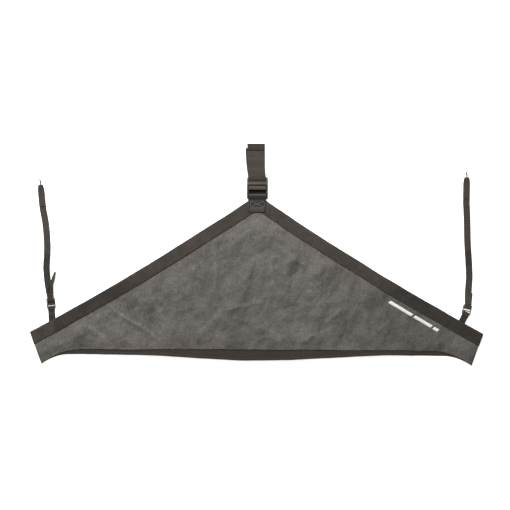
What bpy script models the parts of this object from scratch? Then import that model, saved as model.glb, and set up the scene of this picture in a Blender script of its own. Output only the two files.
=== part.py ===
"""Strap-on fabric cover, laid flat and face up.

A wide triangular canvas panel with webbing along its upper edges, a wide strap
loop with a ladder-lock buckle at the apex, and a narrow strap with a buckle and
a wire hook near each end. X runs across, Y towards the apex and Z up. The origin
is the middle of the footprint, on the surface that the cover lies on. Metres.
"""

import math

import bmesh
import bpy
from mathutils import Matrix, Vector

# Panel outline
HALF_SPAN = 0.680
END_TOP_Y = -0.234
CORNER_X = 0.644
CORNER_Y = -0.331
EDGE_START = 0.178
EDGE_SLOPE = 0.677
EDGE_SAG = 0.1
CANVAS_EDGE_Y = -0.2865
FLAP_EDGE_Y = -0.3015
FLAP_DROP = 0.017
FLAP_DROP_HALF_WIDTH = 0.430

# Flat layers, from the surface up: each ply of cloth or webbing is as thick as the next
PLY = 0.0012
GAP = 0.0003
PITCH = PLY + GAP

BAND_WIDTH = 0.038
SEAM_DEPTH = 0.024
APEX_CLIP_Y = 0.162
CANVAS_TOP_Y = 0.129
LINING_TOP_Y = 0.101
LINING_BOTTOM_Y = -0.268
BINDING_WIDTH = 0.008
BINDING_HALF_LENGTH = 0.470

# Webbing and wire
WIDE = 0.050
NARROW = 0.0195
FOLD_WIDTH = 0.0135
FOLD_SLOT = 0.0036
WIRE_RADIUS = 0.0013
CENTER_TOP_Y = 0.331
CENTER_FOLD_Y = 0.318
CENTER_HEM = 0.020

# Clearance from a bar's face to the middle of the ply wrapped round it
WRAP = GAP + PLY / 2

# Bars of the buckles: from, to along the strap, then bottom, top
WIDE_BARS = {
    "tab": (-0.0283, -0.0208, 0.0030, 0.0066),
    "lock": (-0.0052, 0.0018, 0.0030, 0.0060),
    "grip": (0.0088, 0.0188, 0.0045, 0.0072),
    "end": (0.0258, 0.0312, 0.0030, 0.0046),
}
NARROW_BARS = {
    "tab": (-0.0144, -0.0118, 0.0015, 0.0041),
    "lock": (-0.0046, -0.0020, 0.0015, 0.0039),
    "grip": (0.0036, 0.0062, 0.0030, 0.0052),
    "end": (0.0112, 0.0139, 0.0015, 0.0030),
}
WIDE_HALF = 0.0317
NARROW_HALF = 0.01475
NARROW_FLIP_Z = 0.0067

# Where each buckle and each strap's fold lies, and how far it is turned left, in degrees
CENTER_BUCKLE = (0.0, 0.19925, 0.0)
LEFT_BUCKLE = (-0.6162, -0.1498, 6.0)
RIGHT_BUCKLE = (0.6284, -0.1637, -12.0)
LEFT_END = (-0.6489, 0.2024, 5.6)
RIGHT_END = (0.6267, 0.2304, -0.6)

COLOURS = {
    "canvas": ((0.140, 0.133, 0.122), 0.85, 0.0),
    "lining": ((0.045, 0.040, 0.036), 0.95, 0.0),
    "flap": ((0.050, 0.038, 0.032), 0.95, 0.0),
    "webbing": ((0.070, 0.062, 0.056), 0.80, 0.0),
    "plastic": ((0.045, 0.040, 0.036), 0.45, 0.0),
    "wire": ((0.35, 0.35, 0.34), 0.30, 1.0),
}


def clear_scene():
    for obj in list(bpy.data.objects):
        bpy.data.objects.remove(obj, do_unlink=True)


def new_collection(name):
    collection = bpy.data.collections.new(name)
    bpy.context.scene.collection.children.link(collection)
    return collection


def new_material(name):
    colour, roughness, metallic = COLOURS[name]
    material = bpy.data.materials.new(name)
    material.use_nodes = True
    shader = material.node_tree.nodes["Principled BSDF"]
    shader.inputs["Base Color"].default_value = (*colour, 1.0)
    shader.inputs["Roughness"].default_value = roughness
    shader.inputs["Metallic"].default_value = metallic
    material.diffuse_color = (*colour, 1.0)
    return material


clear_scene()
PARTS = new_collection("fabric_cover")
CUTTERS = new_collection("cutters")


def add_object(name, data, material, collection=None):
    """Links an object. Each has a material of its own."""
    obj = bpy.data.objects.new(name, data)
    (collection or PARTS).objects.link(obj)
    own = new_material(material)
    own.name = f"{name}_{material}"
    data.materials.append(own)
    return obj


def as_joined_tool(obj):
    """Hides an object that a Boolean joins to another one."""
    obj.hide_render = True
    obj.display_type = "WIRE"
    return obj


# ---------------------------------------------------------------- flat outlines


def upper_edge(x):
    """The sloping edge of the panel, slightly hollow, at distance x from the middle."""
    return EDGE_START - EDGE_SLOPE * x + EDGE_SAG * x * x


def inside_edge(x, depth):
    """A point at this depth in from the upper edge, square to it."""
    slope = -EDGE_SLOPE + 2 * EDGE_SAG * x
    length = math.hypot(1.0, slope)
    return (x + slope / length * depth, upper_edge(x) - depth / length)


def end_line(y, inset=0.0):
    """The x of the panel's short slanted end at this height."""
    run = (HALF_SPAN - CORNER_X) / (END_TOP_Y - CORNER_Y)
    return HALF_SPAN - run * (END_TOP_Y - y) - inset


def solve(test, low, high):
    """Halves the interval until test changes sign in a very short one."""
    for _ in range(40):
        middle = (low + high) / 2
        if test(middle) > 0:
            high = middle
        else:
            low = middle
    return (low + high) / 2


def edge_run(depth, top_y, inset=0.0, count=14):
    """Points along the upper edge at this depth, from top_y out to the panel's end."""
    first = solve(lambda x: top_y - inside_edge(x, depth)[1], -0.05, 0.5)
    last = solve(lambda x: past_end(x, depth, inset), 0.4, 0.75)
    steps = [first + (last - first) * i / (count - 1) for i in range(count)]
    return [inside_edge(x, depth) for x in steps]


def past_end(x, depth, inset):
    point = inside_edge(x, depth)
    return point[0] - end_line(point[1], inset)


def mirrored(right):
    """A closed outline from the points of its right half, top to bottom."""
    left = [(-x, y) for x, y in reversed(right) if x > 1e-6]
    return right + left


def flat_piece(name, outline, level, material):
    """A flat ply cut to an outline, on the given layer."""
    curve = bpy.data.curves.new(name, "CURVE")
    curve.dimensions = "2D"
    curve.fill_mode = "BOTH"
    curve.extrude = PLY / 2
    spline = curve.splines.new("POLY")
    spline.points.add(len(outline) - 1)
    for point, (x, y) in zip(spline.points, outline):
        point.co = (x, y, 0.0, 1.0)
    spline.use_cyclic_u = True
    obj = add_object(name, curve, material)
    obj.location.z = level * PITCH + PLY / 2
    return obj


def canvas_edge(x):
    """The canvas's lower edge: straight, then curving down to the corners."""
    past = max(0.0, abs(x) - 0.520) / 0.121
    return CANVAS_EDGE_Y - 0.0415 * past**2.2


def flap_edge(x):
    """The flap's lower edge: deepest in the middle, then down to the corners."""
    wave = 0.5 + 0.5 * math.cos(math.pi * min(abs(x) / FLAP_DROP_HALF_WIDTH, 1.0))
    past = max(0.0, abs(x) - 0.560) / (CORNER_X - 0.560)
    return FLAP_EDGE_Y - FLAP_DROP * wave - (FLAP_EDGE_Y - CORNER_Y) * past**2


def lower_run(edge, start, stop, count):
    """Points along a lower edge from one x to another."""
    return [
        (x, edge(x)) for x in (start + (stop - start) * i / count for i in range(count + 1))
    ]


def add_canvas():
    corner_x = 0.6408
    right = edge_run(SEAM_DEPTH, CANVAS_TOP_Y)
    right += [(corner_x + 0.0006, -0.3265)]
    right += lower_run(canvas_edge, corner_x - 0.002, 0.520, 12)
    flat_piece("front_canvas", mirrored(right), 1, "canvas")


def add_lining():
    right = edge_run(SEAM_DEPTH + 0.002, LINING_TOP_Y, 0.006)
    right += [(end_line(LINING_BOTTOM_Y, 0.006), LINING_BOTTOM_Y)]
    flat_piece("back_lining", mirrored(right), 0, "lining")


def add_flap():
    top = LINING_BOTTOM_Y - 0.002
    right = [(end_line(top, 0.0008), top)]
    right += lower_run(flap_edge, CORNER_X - 0.0005, 0.560, 10)
    right += lower_run(flap_edge, 0.540, 0.0, 18)
    flat_piece("lower_flap", mirrored(right), 0, "flap")


def add_flap_binding():
    low = lower_run(flap_edge, -BINDING_HALF_LENGTH, BINDING_HALF_LENGTH, 36)
    high = [(x, y + BINDING_WIDTH) for x, y in reversed(low)]
    flat_piece("flap_binding", low + high, 1, "flap")


def add_band(side, sign):
    """Webbing on the canvas along one upper edge, mitred at the apex."""
    outer = [p for p in edge_run(0.0, APEX_CLIP_Y) if p[1] < APEX_CLIP_Y - 0.001]
    first = solve(lambda x: inside_edge(x, BAND_WIDTH)[0] - GAP / 2, 0.0, 0.1)
    inner_top = inside_edge(first, BAND_WIDTH)[1]
    inner = edge_run(BAND_WIDTH, inner_top)
    clip_x = solve(lambda x: APEX_CLIP_Y - upper_edge(x), 0.0, 0.2)
    outline = [(GAP / 2, APEX_CLIP_Y), (clip_x, APEX_CLIP_Y)] + outer
    outline += list(reversed(inner))
    flat_piece(f"{side}_edge_band", [(sign * x, y) for x, y in outline], 2, "webbing")


# ---------------------------------------------------------------- webbing strips


def fillet(points, radius, steps=4):
    """Rounds each inner corner of a path with an arc. Points are Vectors."""
    path = [points[0]]
    for before, corner, after in zip(points, points[1:], points[2:]):
        back = (before - corner).normalized()
        ahead = (after - corner).normalized()
        half = back.angle(ahead) / 2
        if half > math.pi / 2 - 0.01:
            path.append(corner)
            continue
        reach = radius / math.tan(half)
        room = 0.5 * min((before - corner).length, (after - corner).length)
        reach = min(reach, room)
        turn = math.pi - 2 * half
        centre = corner + (back + ahead).normalized() * (reach / math.cos(half))
        start = corner + back * reach - centre
        axis = start.cross(corner + ahead * reach - centre)
        for i in range(steps + 1):
            path.append(centre + Matrix.Rotation(turn * i / steps, 3, axis) @ start)
    return path + [points[-1]]


def smooth_route(points, per_span=4):
    """Points along a smooth curve through (x, y, z, roll) points. Between two of
    them the height only rises or only falls, so that plies keep their distance."""
    full = [Vector(p) for p in points]
    ends = [2 * full[0] - full[1]] + full + [2 * full[-1] - full[-2]]
    route = []
    for a, b, c, d in zip(ends, ends[1:], ends[2:], ends[3:]):
        for i in range(per_span):
            t = i / per_span
            bend = 2 * b + (c - a) * t
            bend += (2 * a - 5 * b + 4 * c - d) * t * t
            bend += (3 * b - a - 3 * c + d) * t**3
            point = bend * 0.5
            point.z = b.z + (c.z - b.z) * t * t * (3 - 2 * t)
            route.append(point)
    return route + [full[-1]]


def heading_vectors(degrees):
    """Along and across directions for a strap turned this far to the left of +Y."""
    angle = math.radians(degrees)
    along = Vector((-math.sin(angle), math.cos(angle), 0.0))
    across = Vector((math.cos(angle), math.sin(angle), 0.0))
    return along, across


def seen_from(place, u, z, r=0.0):
    """World point at u along, r across and z up from a buckle's centre."""
    x, y, degrees = place
    along, across = heading_vectors(degrees)
    return Vector((x, y, 0.0)) + along * u + across * r + Vector((0, 0, z))


def station(point, across, width):
    """The two edge points of a strip at one place along it."""
    return (point - across * width / 2, point + across * width / 2)


def strip(name, stations, material):
    """Webbing: an edge extruded from station to station, thickened by Solidify."""
    mesh = bpy.data.meshes.new(name)
    shape = bmesh.new()
    ends = [shape.verts.new(point) for point in stations[0]]
    edge = shape.edges.new(ends)
    for left, right in stations[1:]:
        made = bmesh.ops.extrude_edge_only(shape, edges=[edge])["geom"]
        fresh = [item for item in made if isinstance(item, bmesh.types.BMVert)]
        first_is_left = (fresh[0].co - ends[0].co).length < 1e-6
        ends = fresh if first_is_left else list(reversed(fresh))
        ends[0].co = left
        ends[1].co = right
        edge = shape.edges.get(ends)
    bmesh.ops.recalc_face_normals(shape, faces=shape.faces[:])
    shape.to_mesh(mesh)
    shape.free()
    obj = add_object(name, mesh, material)
    thickness = obj.modifiers.new("thickness", "SOLIDIFY")
    thickness.thickness = PLY
    thickness.offset = 0.0
    thickness.use_even_offset = True
    return obj


def folded_strip(name, place, corners, width, radius, material="webbing"):
    """A strip that bends only in the plane along a buckle, through (u, z) corners."""
    flat = fillet([Vector((u, z, 0.0)) for u, z in corners], radius)
    across = heading_vectors(place[2])[1]
    stations = [station(seen_from(place, p.x, p.y), across, width) for p in flat]
    return strip(name, stations, material)


def rolled_across(along, roll):
    """Across direction of a strip that runs this way, its left edge raised by roll."""
    side = Vector((along.y, -along.x, 0.0)).normalized()
    angle = math.radians(roll)
    return side * math.cos(angle) - Vector((0, 0, 1)) * math.sin(angle)


def lying_strip(name, route, width, first_across=None, material="webbing"):
    """A strip along a smooth route of (x, y, z, roll in degrees)."""
    points = smooth_route(route)
    spots = [Vector(p[:3]) for p in points]
    stations = []
    for i, spot in enumerate(spots):
        along = spots[min(i + 1, len(spots) - 1)] - spots[max(i - 1, 0)]
        across = rolled_across(along, points[i][3])
        if i == 0 and first_across:
            across = first_across
        stations.append(station(spot, across, width))
    return strip(name, stations, material)


# ---------------------------------------------------------------- buckles


def rounded_box(name, low, high, rounding, material, collection):
    mesh = bpy.data.meshes.new(name)
    shape = bmesh.new()
    size = Vector(high) - Vector(low)
    middle = (Vector(high) + Vector(low)) / 2
    place = Matrix.Translation(middle) @ Matrix.Diagonal((*size, 1.0))
    bmesh.ops.create_cube(shape, size=1.0, matrix=place)
    if rounding:
        bmesh.ops.bevel(
            shape, geom=shape.edges[:], offset=rounding, segments=2, profile=0.5, affect="EDGES"
        )
    shape.to_mesh(mesh)
    shape.free()
    return add_object(name, mesh, material, collection)


def rail_profile(half, below, bottom, top, low_top):
    """Side view of a rail: highest over the locking bars, lower at both ends."""
    return [
        (-half - below, bottom),
        (half, bottom),
        (half, low_top),
        (half * 0.62, top),
        (-half * 0.55, top),
        (-half - below, low_top + (top - low_top) * 0.45),
    ]


def rail(name, profile, inner, width, rounding, collection):
    """A side rail: its side view extruded across, with rounded edges."""
    mesh = bpy.data.meshes.new(name)
    shape = bmesh.new()
    side = [shape.verts.new((inner, u, z)) for u, z in profile]
    face = shape.faces.new(side)
    made = bmesh.ops.extrude_face_region(shape, geom=[face])["geom"]
    moved = [item for item in made if isinstance(item, bmesh.types.BMVert)]
    bmesh.ops.translate(shape, vec=(width, 0, 0), verts=moved)
    bmesh.ops.recalc_face_normals(shape, faces=shape.faces[:])
    bmesh.ops.bevel(
        shape, geom=shape.edges[:], offset=rounding, segments=2, profile=0.5, affect="EDGES"
    )
    bmesh.ops.recalc_face_normals(shape, faces=shape.faces[:])
    shape.to_mesh(mesh)
    shape.free()
    return add_object(name, mesh, "plastic", collection)


def ladder_lock(name, place, bars, half, inner, rail_width, heights, rounding, flip=0.0, below=0.0):
    """A buckle of two rails joined by four bars, with its origin on the tab bar."""
    bottom, top, low_top = heights
    tab = bars["tab"]
    profile = rail_profile(half, below, bottom, top, low_top)
    body = rail(name, profile, inner, rail_width, rounding, PARTS)
    other = rail(f"{name}_rail", profile, -inner - rail_width, rail_width, rounding, CUTTERS)
    tools = [as_joined_tool(other)]
    reach = inner + rail_width * 0.5
    for bar, (start, stop, low, high) in bars.items():
        made = rounded_box(
            f"{name}_{bar}_bar",
            (-reach, start, low),
            (reach, stop, high),
            rounding * 0.9,
            "plastic",
            CUTTERS,
        )
        tools.append(as_joined_tool(made))
    axis_u = (tab[0] + tab[1]) / 2
    axis_z = (tab[2] + tab[3]) / 2
    origin = Vector((0.0, axis_u, axis_z))
    for obj in [body] + tools:
        obj.data.transform(Matrix.Translation(-origin))
        turn = Matrix.Rotation(math.radians(place[2]), 4, "Z")
        if flip:
            turn = turn @ Matrix.Rotation(math.pi, 4, "Y")
        where = seen_from(place, axis_u, flip - axis_z if flip else axis_z)
        obj.matrix_world = Matrix.Translation(where) @ turn
    for tool in tools:
        join = body.modifiers.new(tool.name, "BOOLEAN")
        join.operation = "UNION"
        join.solver = "EXACT"
        join.object = tool
    return body


def round_corners(buckle, low, high, radius):
    """Rounds a buckle's four outer corners, seen from above."""
    (x0, y0), (x1, y1) = low, high
    outline = [(x0, y0), (x1, y0), (x1, y1), (x0, y1)]
    mesh = bpy.data.meshes.new(f"{buckle.name}_outline")
    shape = bmesh.new()
    floor = shape.faces.new([shape.verts.new((x, y, 0.0)) for x, y in outline])
    made = bmesh.ops.extrude_face_region(shape, geom=[floor])["geom"]
    top = [item for item in made if isinstance(item, bmesh.types.BMVert)]
    bmesh.ops.translate(shape, vec=(0, 0, 0.020), verts=top)
    upright = [e for e in shape.edges if abs(e.verts[0].co.z - e.verts[1].co.z) > 0.01]
    bmesh.ops.bevel(shape, geom=upright, offset=radius, segments=5, profile=0.5, affect="EDGES")
    bmesh.ops.recalc_face_normals(shape, faces=shape.faces[:])
    shape.to_mesh(mesh)
    shape.free()
    tool = as_joined_tool(add_object(mesh.name, mesh, "plastic", CUTTERS))
    keep = buckle.modifiers.new("outline", "BOOLEAN")
    keep.operation = "INTERSECT"
    keep.solver = "EXACT"
    keep.object = tool


# ---------------------------------------------------------------- centre strap


def add_center_tab():
    """Webbing sewn to both faces of the apex and looped round the buckle's tab bar."""
    start, stop, low, high = WIDE_BARS["tab"]
    centre_y = CENTER_BUCKLE[1]
    corners = [
        (0.126 - centre_y, 3.5 * PITCH - GAP / 2),
        (0.158 - centre_y, 3.5 * PITCH - GAP / 2),
        (start - 0.0008, high + WRAP),
        (stop + WRAP, high + WRAP),
        (stop + WRAP, low - WRAP),
        (0.132 - centre_y, low - WRAP),
    ]
    folded_strip("center_tab", CENTER_BUCKLE, corners, WIDE - 0.001, 0.0016)


def add_center_anchor():
    """The end of the centre strap that is sewn behind the apex."""
    centre_y = CENTER_BUCKLE[1]
    hinge_u = (WIDE_BARS["tab"][0] + WIDE_BARS["tab"][1]) / 2
    corners = [(0.104 - centre_y, PLY / 2), (hinge_u, PLY / 2)]
    folded_strip("center_strap_anchor", CENTER_BUCKLE, corners, WIDE, 0.001)


def center_drift(y):
    """How far the two lower layers of the centre strap lie to the left, at y."""
    share = min(max((y - 0.225) / (CENTER_FOLD_Y - 0.225), 0.0), 1.0)
    return -0.0005 - 0.009 * (1 - (1 - share) ** 2)


def add_center_loop():
    """Back and middle layers of the centre strap and the fold between them."""
    x, y, _ = CENTER_BUCKLE
    start = y + (WIDE_BARS["tab"][0] + WIDE_BARS["tab"][1]) / 2 + GAP
    back = [Vector((0.0, v, PLY / 2)) for v in (start, 0.200, 0.225, 0.240, 0.260, 0.285)]
    front_end = y + 0.0335
    front = [Vector((0.0, v, PLY / 2 + PITCH)) for v in (0.285, 0.260, 0.245, front_end)]
    radius = PITCH / 2
    bend = []
    for i in range(9):
        angle = -math.pi / 2 + math.pi * i / 8
        rise = PLY / 2 + radius + radius * math.sin(angle)
        bend.append(Vector((0.0, CENTER_FOLD_Y - PLY / 2 - radius + radius * math.cos(angle), rise)))
    stations = []
    for point in back + bend + front:
        point.x = x + center_drift(point.y)
        stations.append(station(point, Vector((1, 0, 0)), WIDE))
    strip("center_strap_loop", stations, "webbing")


def add_center_wrap():
    """The centre strap's stretch inside the buckle: up over the locking bar,
    down under the grip bar and over the end bar."""
    lock = WIDE_BARS["lock"]
    grip = WIDE_BARS["grip"]
    end = WIDE_BARS["end"]
    corners = [
        (0.0332, PLY / 2 + PITCH),
        (lock[0] - WRAP, PLY / 2 + PITCH),
        (lock[0] - WRAP, lock[3] + WRAP),
        (lock[1] + WRAP, lock[3] + WRAP),
        (lock[1] + WRAP, grip[2] - WRAP),
        (grip[1] + WRAP, grip[2] - WRAP),
        (end[0] - 0.001, end[3] + WRAP),
        (0.0332, end[3] + WRAP),
    ]
    place = (CENTER_BUCKLE[0] - 0.0001, CENTER_BUCKLE[1], 0.0)
    folded_strip("center_strap_wrap", place, corners, WIDE, 0.0011)


def add_center_tail():
    """The free end of the centre strap, with its end folded back and hemmed."""
    y0 = CENTER_BUCKLE[1]
    high = WIDE_BARS["end"][3] + WRAP
    level = PLY / 2 + 2 * PITCH
    flat = [
        Vector((-0.0012, y0 + 0.0335, high)),
        Vector((-0.0030, y0 + 0.050, level + 0.0008)),
        Vector((-0.0036, y0 + 0.062, level)),
        Vector((-0.0038, y0 + 0.090, level)),
    ]
    radius = PITCH / 2
    top = CENTER_TOP_Y - PLY / 2 - radius
    for i in range(9):
        angle = -math.pi / 2 + math.pi * i / 8
        reach = top + radius * math.cos(angle)
        flat.append(Vector((-0.0040, reach, level + radius + radius * math.sin(angle))))
    flat.append(Vector((-0.0040, CENTER_TOP_Y - CENTER_HEM, level + PITCH)))
    stations = [station(point, Vector((1, 0, 0)), WIDE) for point in flat]
    strip("center_strap_tail", stations, "webbing")


# ---------------------------------------------------------------- side straps


def add_side_tab(side, place, bars, root, sewn):
    """Webbing sewn under the edge band, out to the buckle's tab bar and back."""
    start, stop, low, high = bars["tab"]
    bar_point = seen_from(place, (start + stop) / 2, 0.0)
    root_point = Vector((*root, 0.0))
    span = (bar_point - root_point).length
    along = (bar_point - root_point) / span
    side_way = Vector((along.y, -along.x, 0.0))
    bar_along, bar_across = heading_vectors(place[2])
    under = PLY / 2
    over = PLY / 2 + PITCH
    reach = (stop - start) / 2 + WRAP
    corners = [
        (-span - sewn, over),
        (-0.013, over),
        (-0.003, high + WRAP),
        (reach, high + WRAP),
        (reach, low - WRAP),
        (-0.003, low - WRAP),
        (-0.011, under),
        (-span - sewn, under),
    ]
    stations = []
    for p in fillet([Vector((s, z, 0.0)) for s, z in corners], 0.0012):
        on_bar = p.x > -0.0025
        point = bar_point + (bar_along if on_bar else along) * p.x + Vector((0, 0, p.y))
        stations.append(station(point, bar_across if on_bar else side_way, NARROW))
    strip(f"{side}_tab", stations, "webbing")


def add_left_wrap():
    """Left strap inside its buckle: up over the locking bar, under the grip bar
    and out over the end bar, so that its free end lies on top."""
    lock, grip, end = (NARROW_BARS[key] for key in ("lock", "grip", "end"))
    corners = [
        (0.0158, PLY / 2),
        (lock[0] - WRAP, PLY / 2),
        (lock[0] - WRAP, lock[3] + WRAP),
        (lock[1] + WRAP, lock[3] + WRAP),
        (lock[1] + WRAP, PLY / 2 + PITCH),
        (grip[1] + WRAP, PLY / 2 + PITCH),
        (end[0] - 0.0006, end[3] + WRAP),
        (0.0158, end[3] + WRAP),
    ]
    folded_strip("left_strap_wrap", LEFT_BUCKLE, corners, NARROW, 0.0009)


def flipped_bars():
    """The narrow buckle's bars when it lies face down."""
    turned = {}
    for key, (start, stop, low, high) in NARROW_BARS.items():
        turned[key] = (start, stop, NARROW_FLIP_Z - high, NARROW_FLIP_Z - low)
    return turned


def add_right_wrap():
    """Right strap inside its face-down buckle: down behind the grip bar, under it
    and out over the end bar, so that its free end lies underneath."""
    bars = flipped_bars()
    grip, end = (bars[key] for key in ("grip", "end"))
    upper = end[3] + WRAP + PITCH
    corners = [
        (0.0158, upper),
        (grip[0] - WRAP + 0.001, upper),
        (grip[0] - WRAP, upper - 0.001),
        (grip[0] - WRAP, PLY / 2),
        (grip[1] + WRAP, PLY / 2),
        (end[0] - WRAP, end[3] + WRAP),
        (0.0158, end[3] + WRAP),
    ]
    folded_strip("right_strap_wrap", RIGHT_BUCKLE, corners, NARROW, 0.0009)


def run_start(place, z):
    point = seen_from(place, 0.0161, z)
    return (point.x, point.y, z, 0.0)


def add_left_run():
    z = PLY / 2
    route = [
        run_start(LEFT_BUCKLE, z),
        (-0.6230, -0.1097, z, 0.0),
        (-0.6260, -0.0918, z, 0.0),
        (-0.6288, -0.0675, z, 0.0),
        (-0.6306, -0.0405, z, 0.0),
        (-0.6287, -0.0045, z, 0.0),
        (-0.6287, 0.0315, z, 0.0),
        (-0.6325, 0.0795, z, 0.0),
        (-0.6373, 0.1100, z, 0.0),
        (-0.6420, 0.1328, z, 0.0),
    ]
    lying_strip("left_strap", route, NARROW, heading_vectors(LEFT_BUCKLE[2])[1])


def add_left_tail():
    """The left strap's free end: it leaves the run and stands on its edge."""
    high = NARROW_BARS["end"][3] + WRAP
    route = [
        run_start(LEFT_BUCKLE, high),
        (-0.6184, -0.1220, 0.0053, 10.0),
        (-0.6177, -0.1100, 0.0070, 29.0),
        (-0.6157, -0.1000, 0.0090, 50.0),
        (-0.6137, -0.0920, 0.0099, 64.0),
        (-0.6090, -0.0775, 0.0101, 70.0),
        (-0.6033, -0.0560, 0.0106, 84.0),
    ]
    lying_strip("left_strap_tail", route, NARROW, heading_vectors(LEFT_BUCKLE[2])[1])


def add_right_run():
    bars = flipped_bars()
    upper = bars["end"][3] + WRAP + PITCH
    over_tail = PLY / 2 + PITCH
    z = PLY / 2
    route = [
        run_start(RIGHT_BUCKLE, upper),
        (0.6326, -0.1160, over_tail, 0.0),
        (0.6337, -0.0980, over_tail, 0.0),
        (0.6352, -0.0800, z, 0.0),
        (0.6359, -0.0645, z, 0.0),
        (0.6348, -0.0350, z, 0.0),
        (0.6330, -0.0045, z, 0.0),
        (0.6300, 0.0435, z, 0.0),
        (0.6286, 0.1035, z, 0.0),
        (0.6260, 0.1600, z, 0.0),
    ]
    lying_strip("right_strap", route, NARROW, heading_vectors(RIGHT_BUCKLE[2])[1])


def add_right_tail():
    """The right strap's free end, under the run and a little to its right."""
    bars = flipped_bars()
    high = bars["end"][3] + WRAP
    z = PLY / 2
    route = [
        run_start(RIGHT_BUCKLE, high),
        (0.6347, -0.1290, z, 0.0),
        (0.6361, -0.1130, z, 0.0),
    ]
    lying_strip("right_strap_tail", route, NARROW, heading_vectors(RIGHT_BUCKLE[2])[1])


def strap_end_width(distance):
    """The doubled end narrows over the last 17 mm, towards the hook in its fold."""
    share = min(max(distance / 0.017, 0.0), 1.0)
    return FOLD_WIDTH + (NARROW - FOLD_WIDTH) * share**0.6


def add_strap_end(side, place, length, lower_length):
    """The strap's end: turned back round the hook's bar and sewn onto itself."""
    radius = WIRE_RADIUS + WRAP
    z = PLY / 2
    over = PLY / 2 + PITCH
    lower = [-lower_length, -0.020, -0.014, -0.009, -0.005, -0.003]
    path = [Vector((u, z, 0.0)) for u in lower]
    for i in range(11):
        angle = -math.pi / 2 + math.pi * i / 10
        path.append(Vector((radius * math.cos(angle), z + radius + radius * math.sin(angle), 0)))
    path.append(Vector((-0.003, z + 2 * radius - 0.0003, 0.0)))
    path.append(Vector((-0.009, over + 0.0012, 0.0)))
    path.append(Vector((-0.014, over + 0.0002, 0.0)))
    path.append(Vector((-0.020, over, 0.0)))
    path.append(Vector((-length, over, 0.0)))
    across = heading_vectors(place[2])[1]
    stations = []
    for point in path:
        width = strap_end_width(-point.x)
        stations.append(station(seen_from(place, point.x, point.y), across, width))
    end = strip(f"{side}_strap_end", stations, "webbing")
    cut_fold_slot(end, side, place)


def cut_fold_slot(end, side, place):
    """Opens the front and top of the fold, where the hook's stem comes out."""
    half = FOLD_SLOT / 2
    slot = rounded_box(
        f"{side}_fold_slot", (-half, -0.0016, 0.00135), (half, 0.0045, 0.0080), 0.0, "wire", CUTTERS
    )
    slot.hide_render = True
    slot.display_type = "WIRE"
    turn = Matrix.Rotation(math.radians(place[2]), 4, "Z")
    slot.matrix_world = Matrix.Translation(seen_from(place, 0.0, 0.0)) @ turn
    cut = end.modifiers.new("stem slot", "BOOLEAN")
    cut.operation = "DIFFERENCE"
    cut.solver = "EXACT"
    cut.object = slot


def hook_stem(lean, sway):
    """The hook's wire as (across, along, up) from the middle of its bar: straight
    out of the fold, bending sideways a little, then turning up and back."""
    rise = 0.0045
    stem = [Vector((0.0, u, 0.0)) for u in (0.0, 0.0030, 0.0045, 0.0065, 0.0090, 0.0115, 0.0140)]
    for i in range(1, 9):
        angle = -math.pi / 2 + math.pi * i / 8
        stem.append(Vector((0.0, 0.0140 + rise * math.cos(angle), rise + rise * math.sin(angle))))
    stem += [Vector((0.0, 0.0110, 2 * rise)), Vector((0.0, 0.0088, 2 * rise + 0.0007))]
    stem += [Vector((0.0, 0.0074, 2 * rise + 0.0020))]
    turn = Matrix.Rotation(math.radians(lean), 3, "Z")
    pivot = Vector((0.0, 0.0045, 0.0))
    bent = []
    for point in stem:
        share = min(max((point.y - 0.0045) / 0.0140, 0.0), 1.0)
        moved = point + Vector((sway * math.sin(math.pi * share), 0.0, 0.0))
        bent.append(turn @ (moved - pivot) + pivot if point.y > 0.0045 else moved)
    return bent


def wire(name, path, radius, collection):
    """A round wire through a path of Vectors, made a mesh so that it can be joined."""
    curve = bpy.data.curves.new(name, "CURVE")
    curve.dimensions = "3D"
    curve.bevel_depth = radius
    curve.bevel_resolution = 4
    curve.use_fill_caps = True
    spline = curve.splines.new("POLY")
    spline.points.add(len(path) - 1)
    for point, spot in zip(spline.points, path):
        point.co = (*spot, 1.0)
    guide = bpy.data.objects.new(f"{name}_guide", curve)
    collection.objects.link(guide)
    graph = bpy.context.evaluated_depsgraph_get()
    mesh = bpy.data.meshes.new_from_object(guide.evaluated_get(graph))
    bpy.data.objects.remove(guide)
    shape = bmesh.new()
    shape.from_mesh(mesh)
    bmesh.ops.remove_doubles(shape, verts=shape.verts[:], dist=0.00001)
    bmesh.ops.recalc_face_normals(shape, faces=shape.faces[:])
    shape.to_mesh(mesh)
    shape.free()
    return add_object(name, mesh, "wire", collection)


def add_hook(side, place, lean, sway):
    """A bent wire hook. Its origin is the middle of the cross bar that it swings on."""
    half = FOLD_WIDTH / 2 - 0.0018
    bar_path = [Vector((-half, 0.0, 0.0)), Vector((half, 0.0, 0.0))]
    hook = wire(f"{side}_hook", hook_stem(lean, sway), WIRE_RADIUS * 0.98, PARTS)
    bar = wire(f"{side}_hook_bar", bar_path, WIRE_RADIUS, CUTTERS)
    turn = Matrix.Rotation(math.radians(place[2]), 4, "Z")
    where = Matrix.Translation(seen_from(place, 0.0, PLY / 2 + WIRE_RADIUS + WRAP)) @ turn
    for obj in (hook, bar):
        obj.matrix_world = where
    join = hook.modifiers.new("bar", "BOOLEAN")
    join.operation = "UNION"
    join.solver = "EXACT"
    join.object = as_joined_tool(bar)


# ---------------------------------------------------------------- assembly


def add_panel():
    add_canvas()
    add_lining()
    add_flap()
    add_flap_binding()
    add_band("left", -1)
    add_band("right", 1)


def add_center_strap():
    buckle = ladder_lock(
        "center_buckle",
        CENTER_BUCKLE,
        WIDE_BARS,
        WIDE_HALF,
        inner=0.0254,
        rail_width=0.0058,
        heights=(0.0032, 0.0076, 0.0043),
        rounding=0.0005,
        below=0.0032,
    )
    round_corners(buckle, (-0.0316, 0.1636), (0.0316, 0.2313), 0.0055)
    add_center_tab()
    add_center_anchor()
    add_center_loop()
    add_center_wrap()
    add_center_tail()


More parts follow.
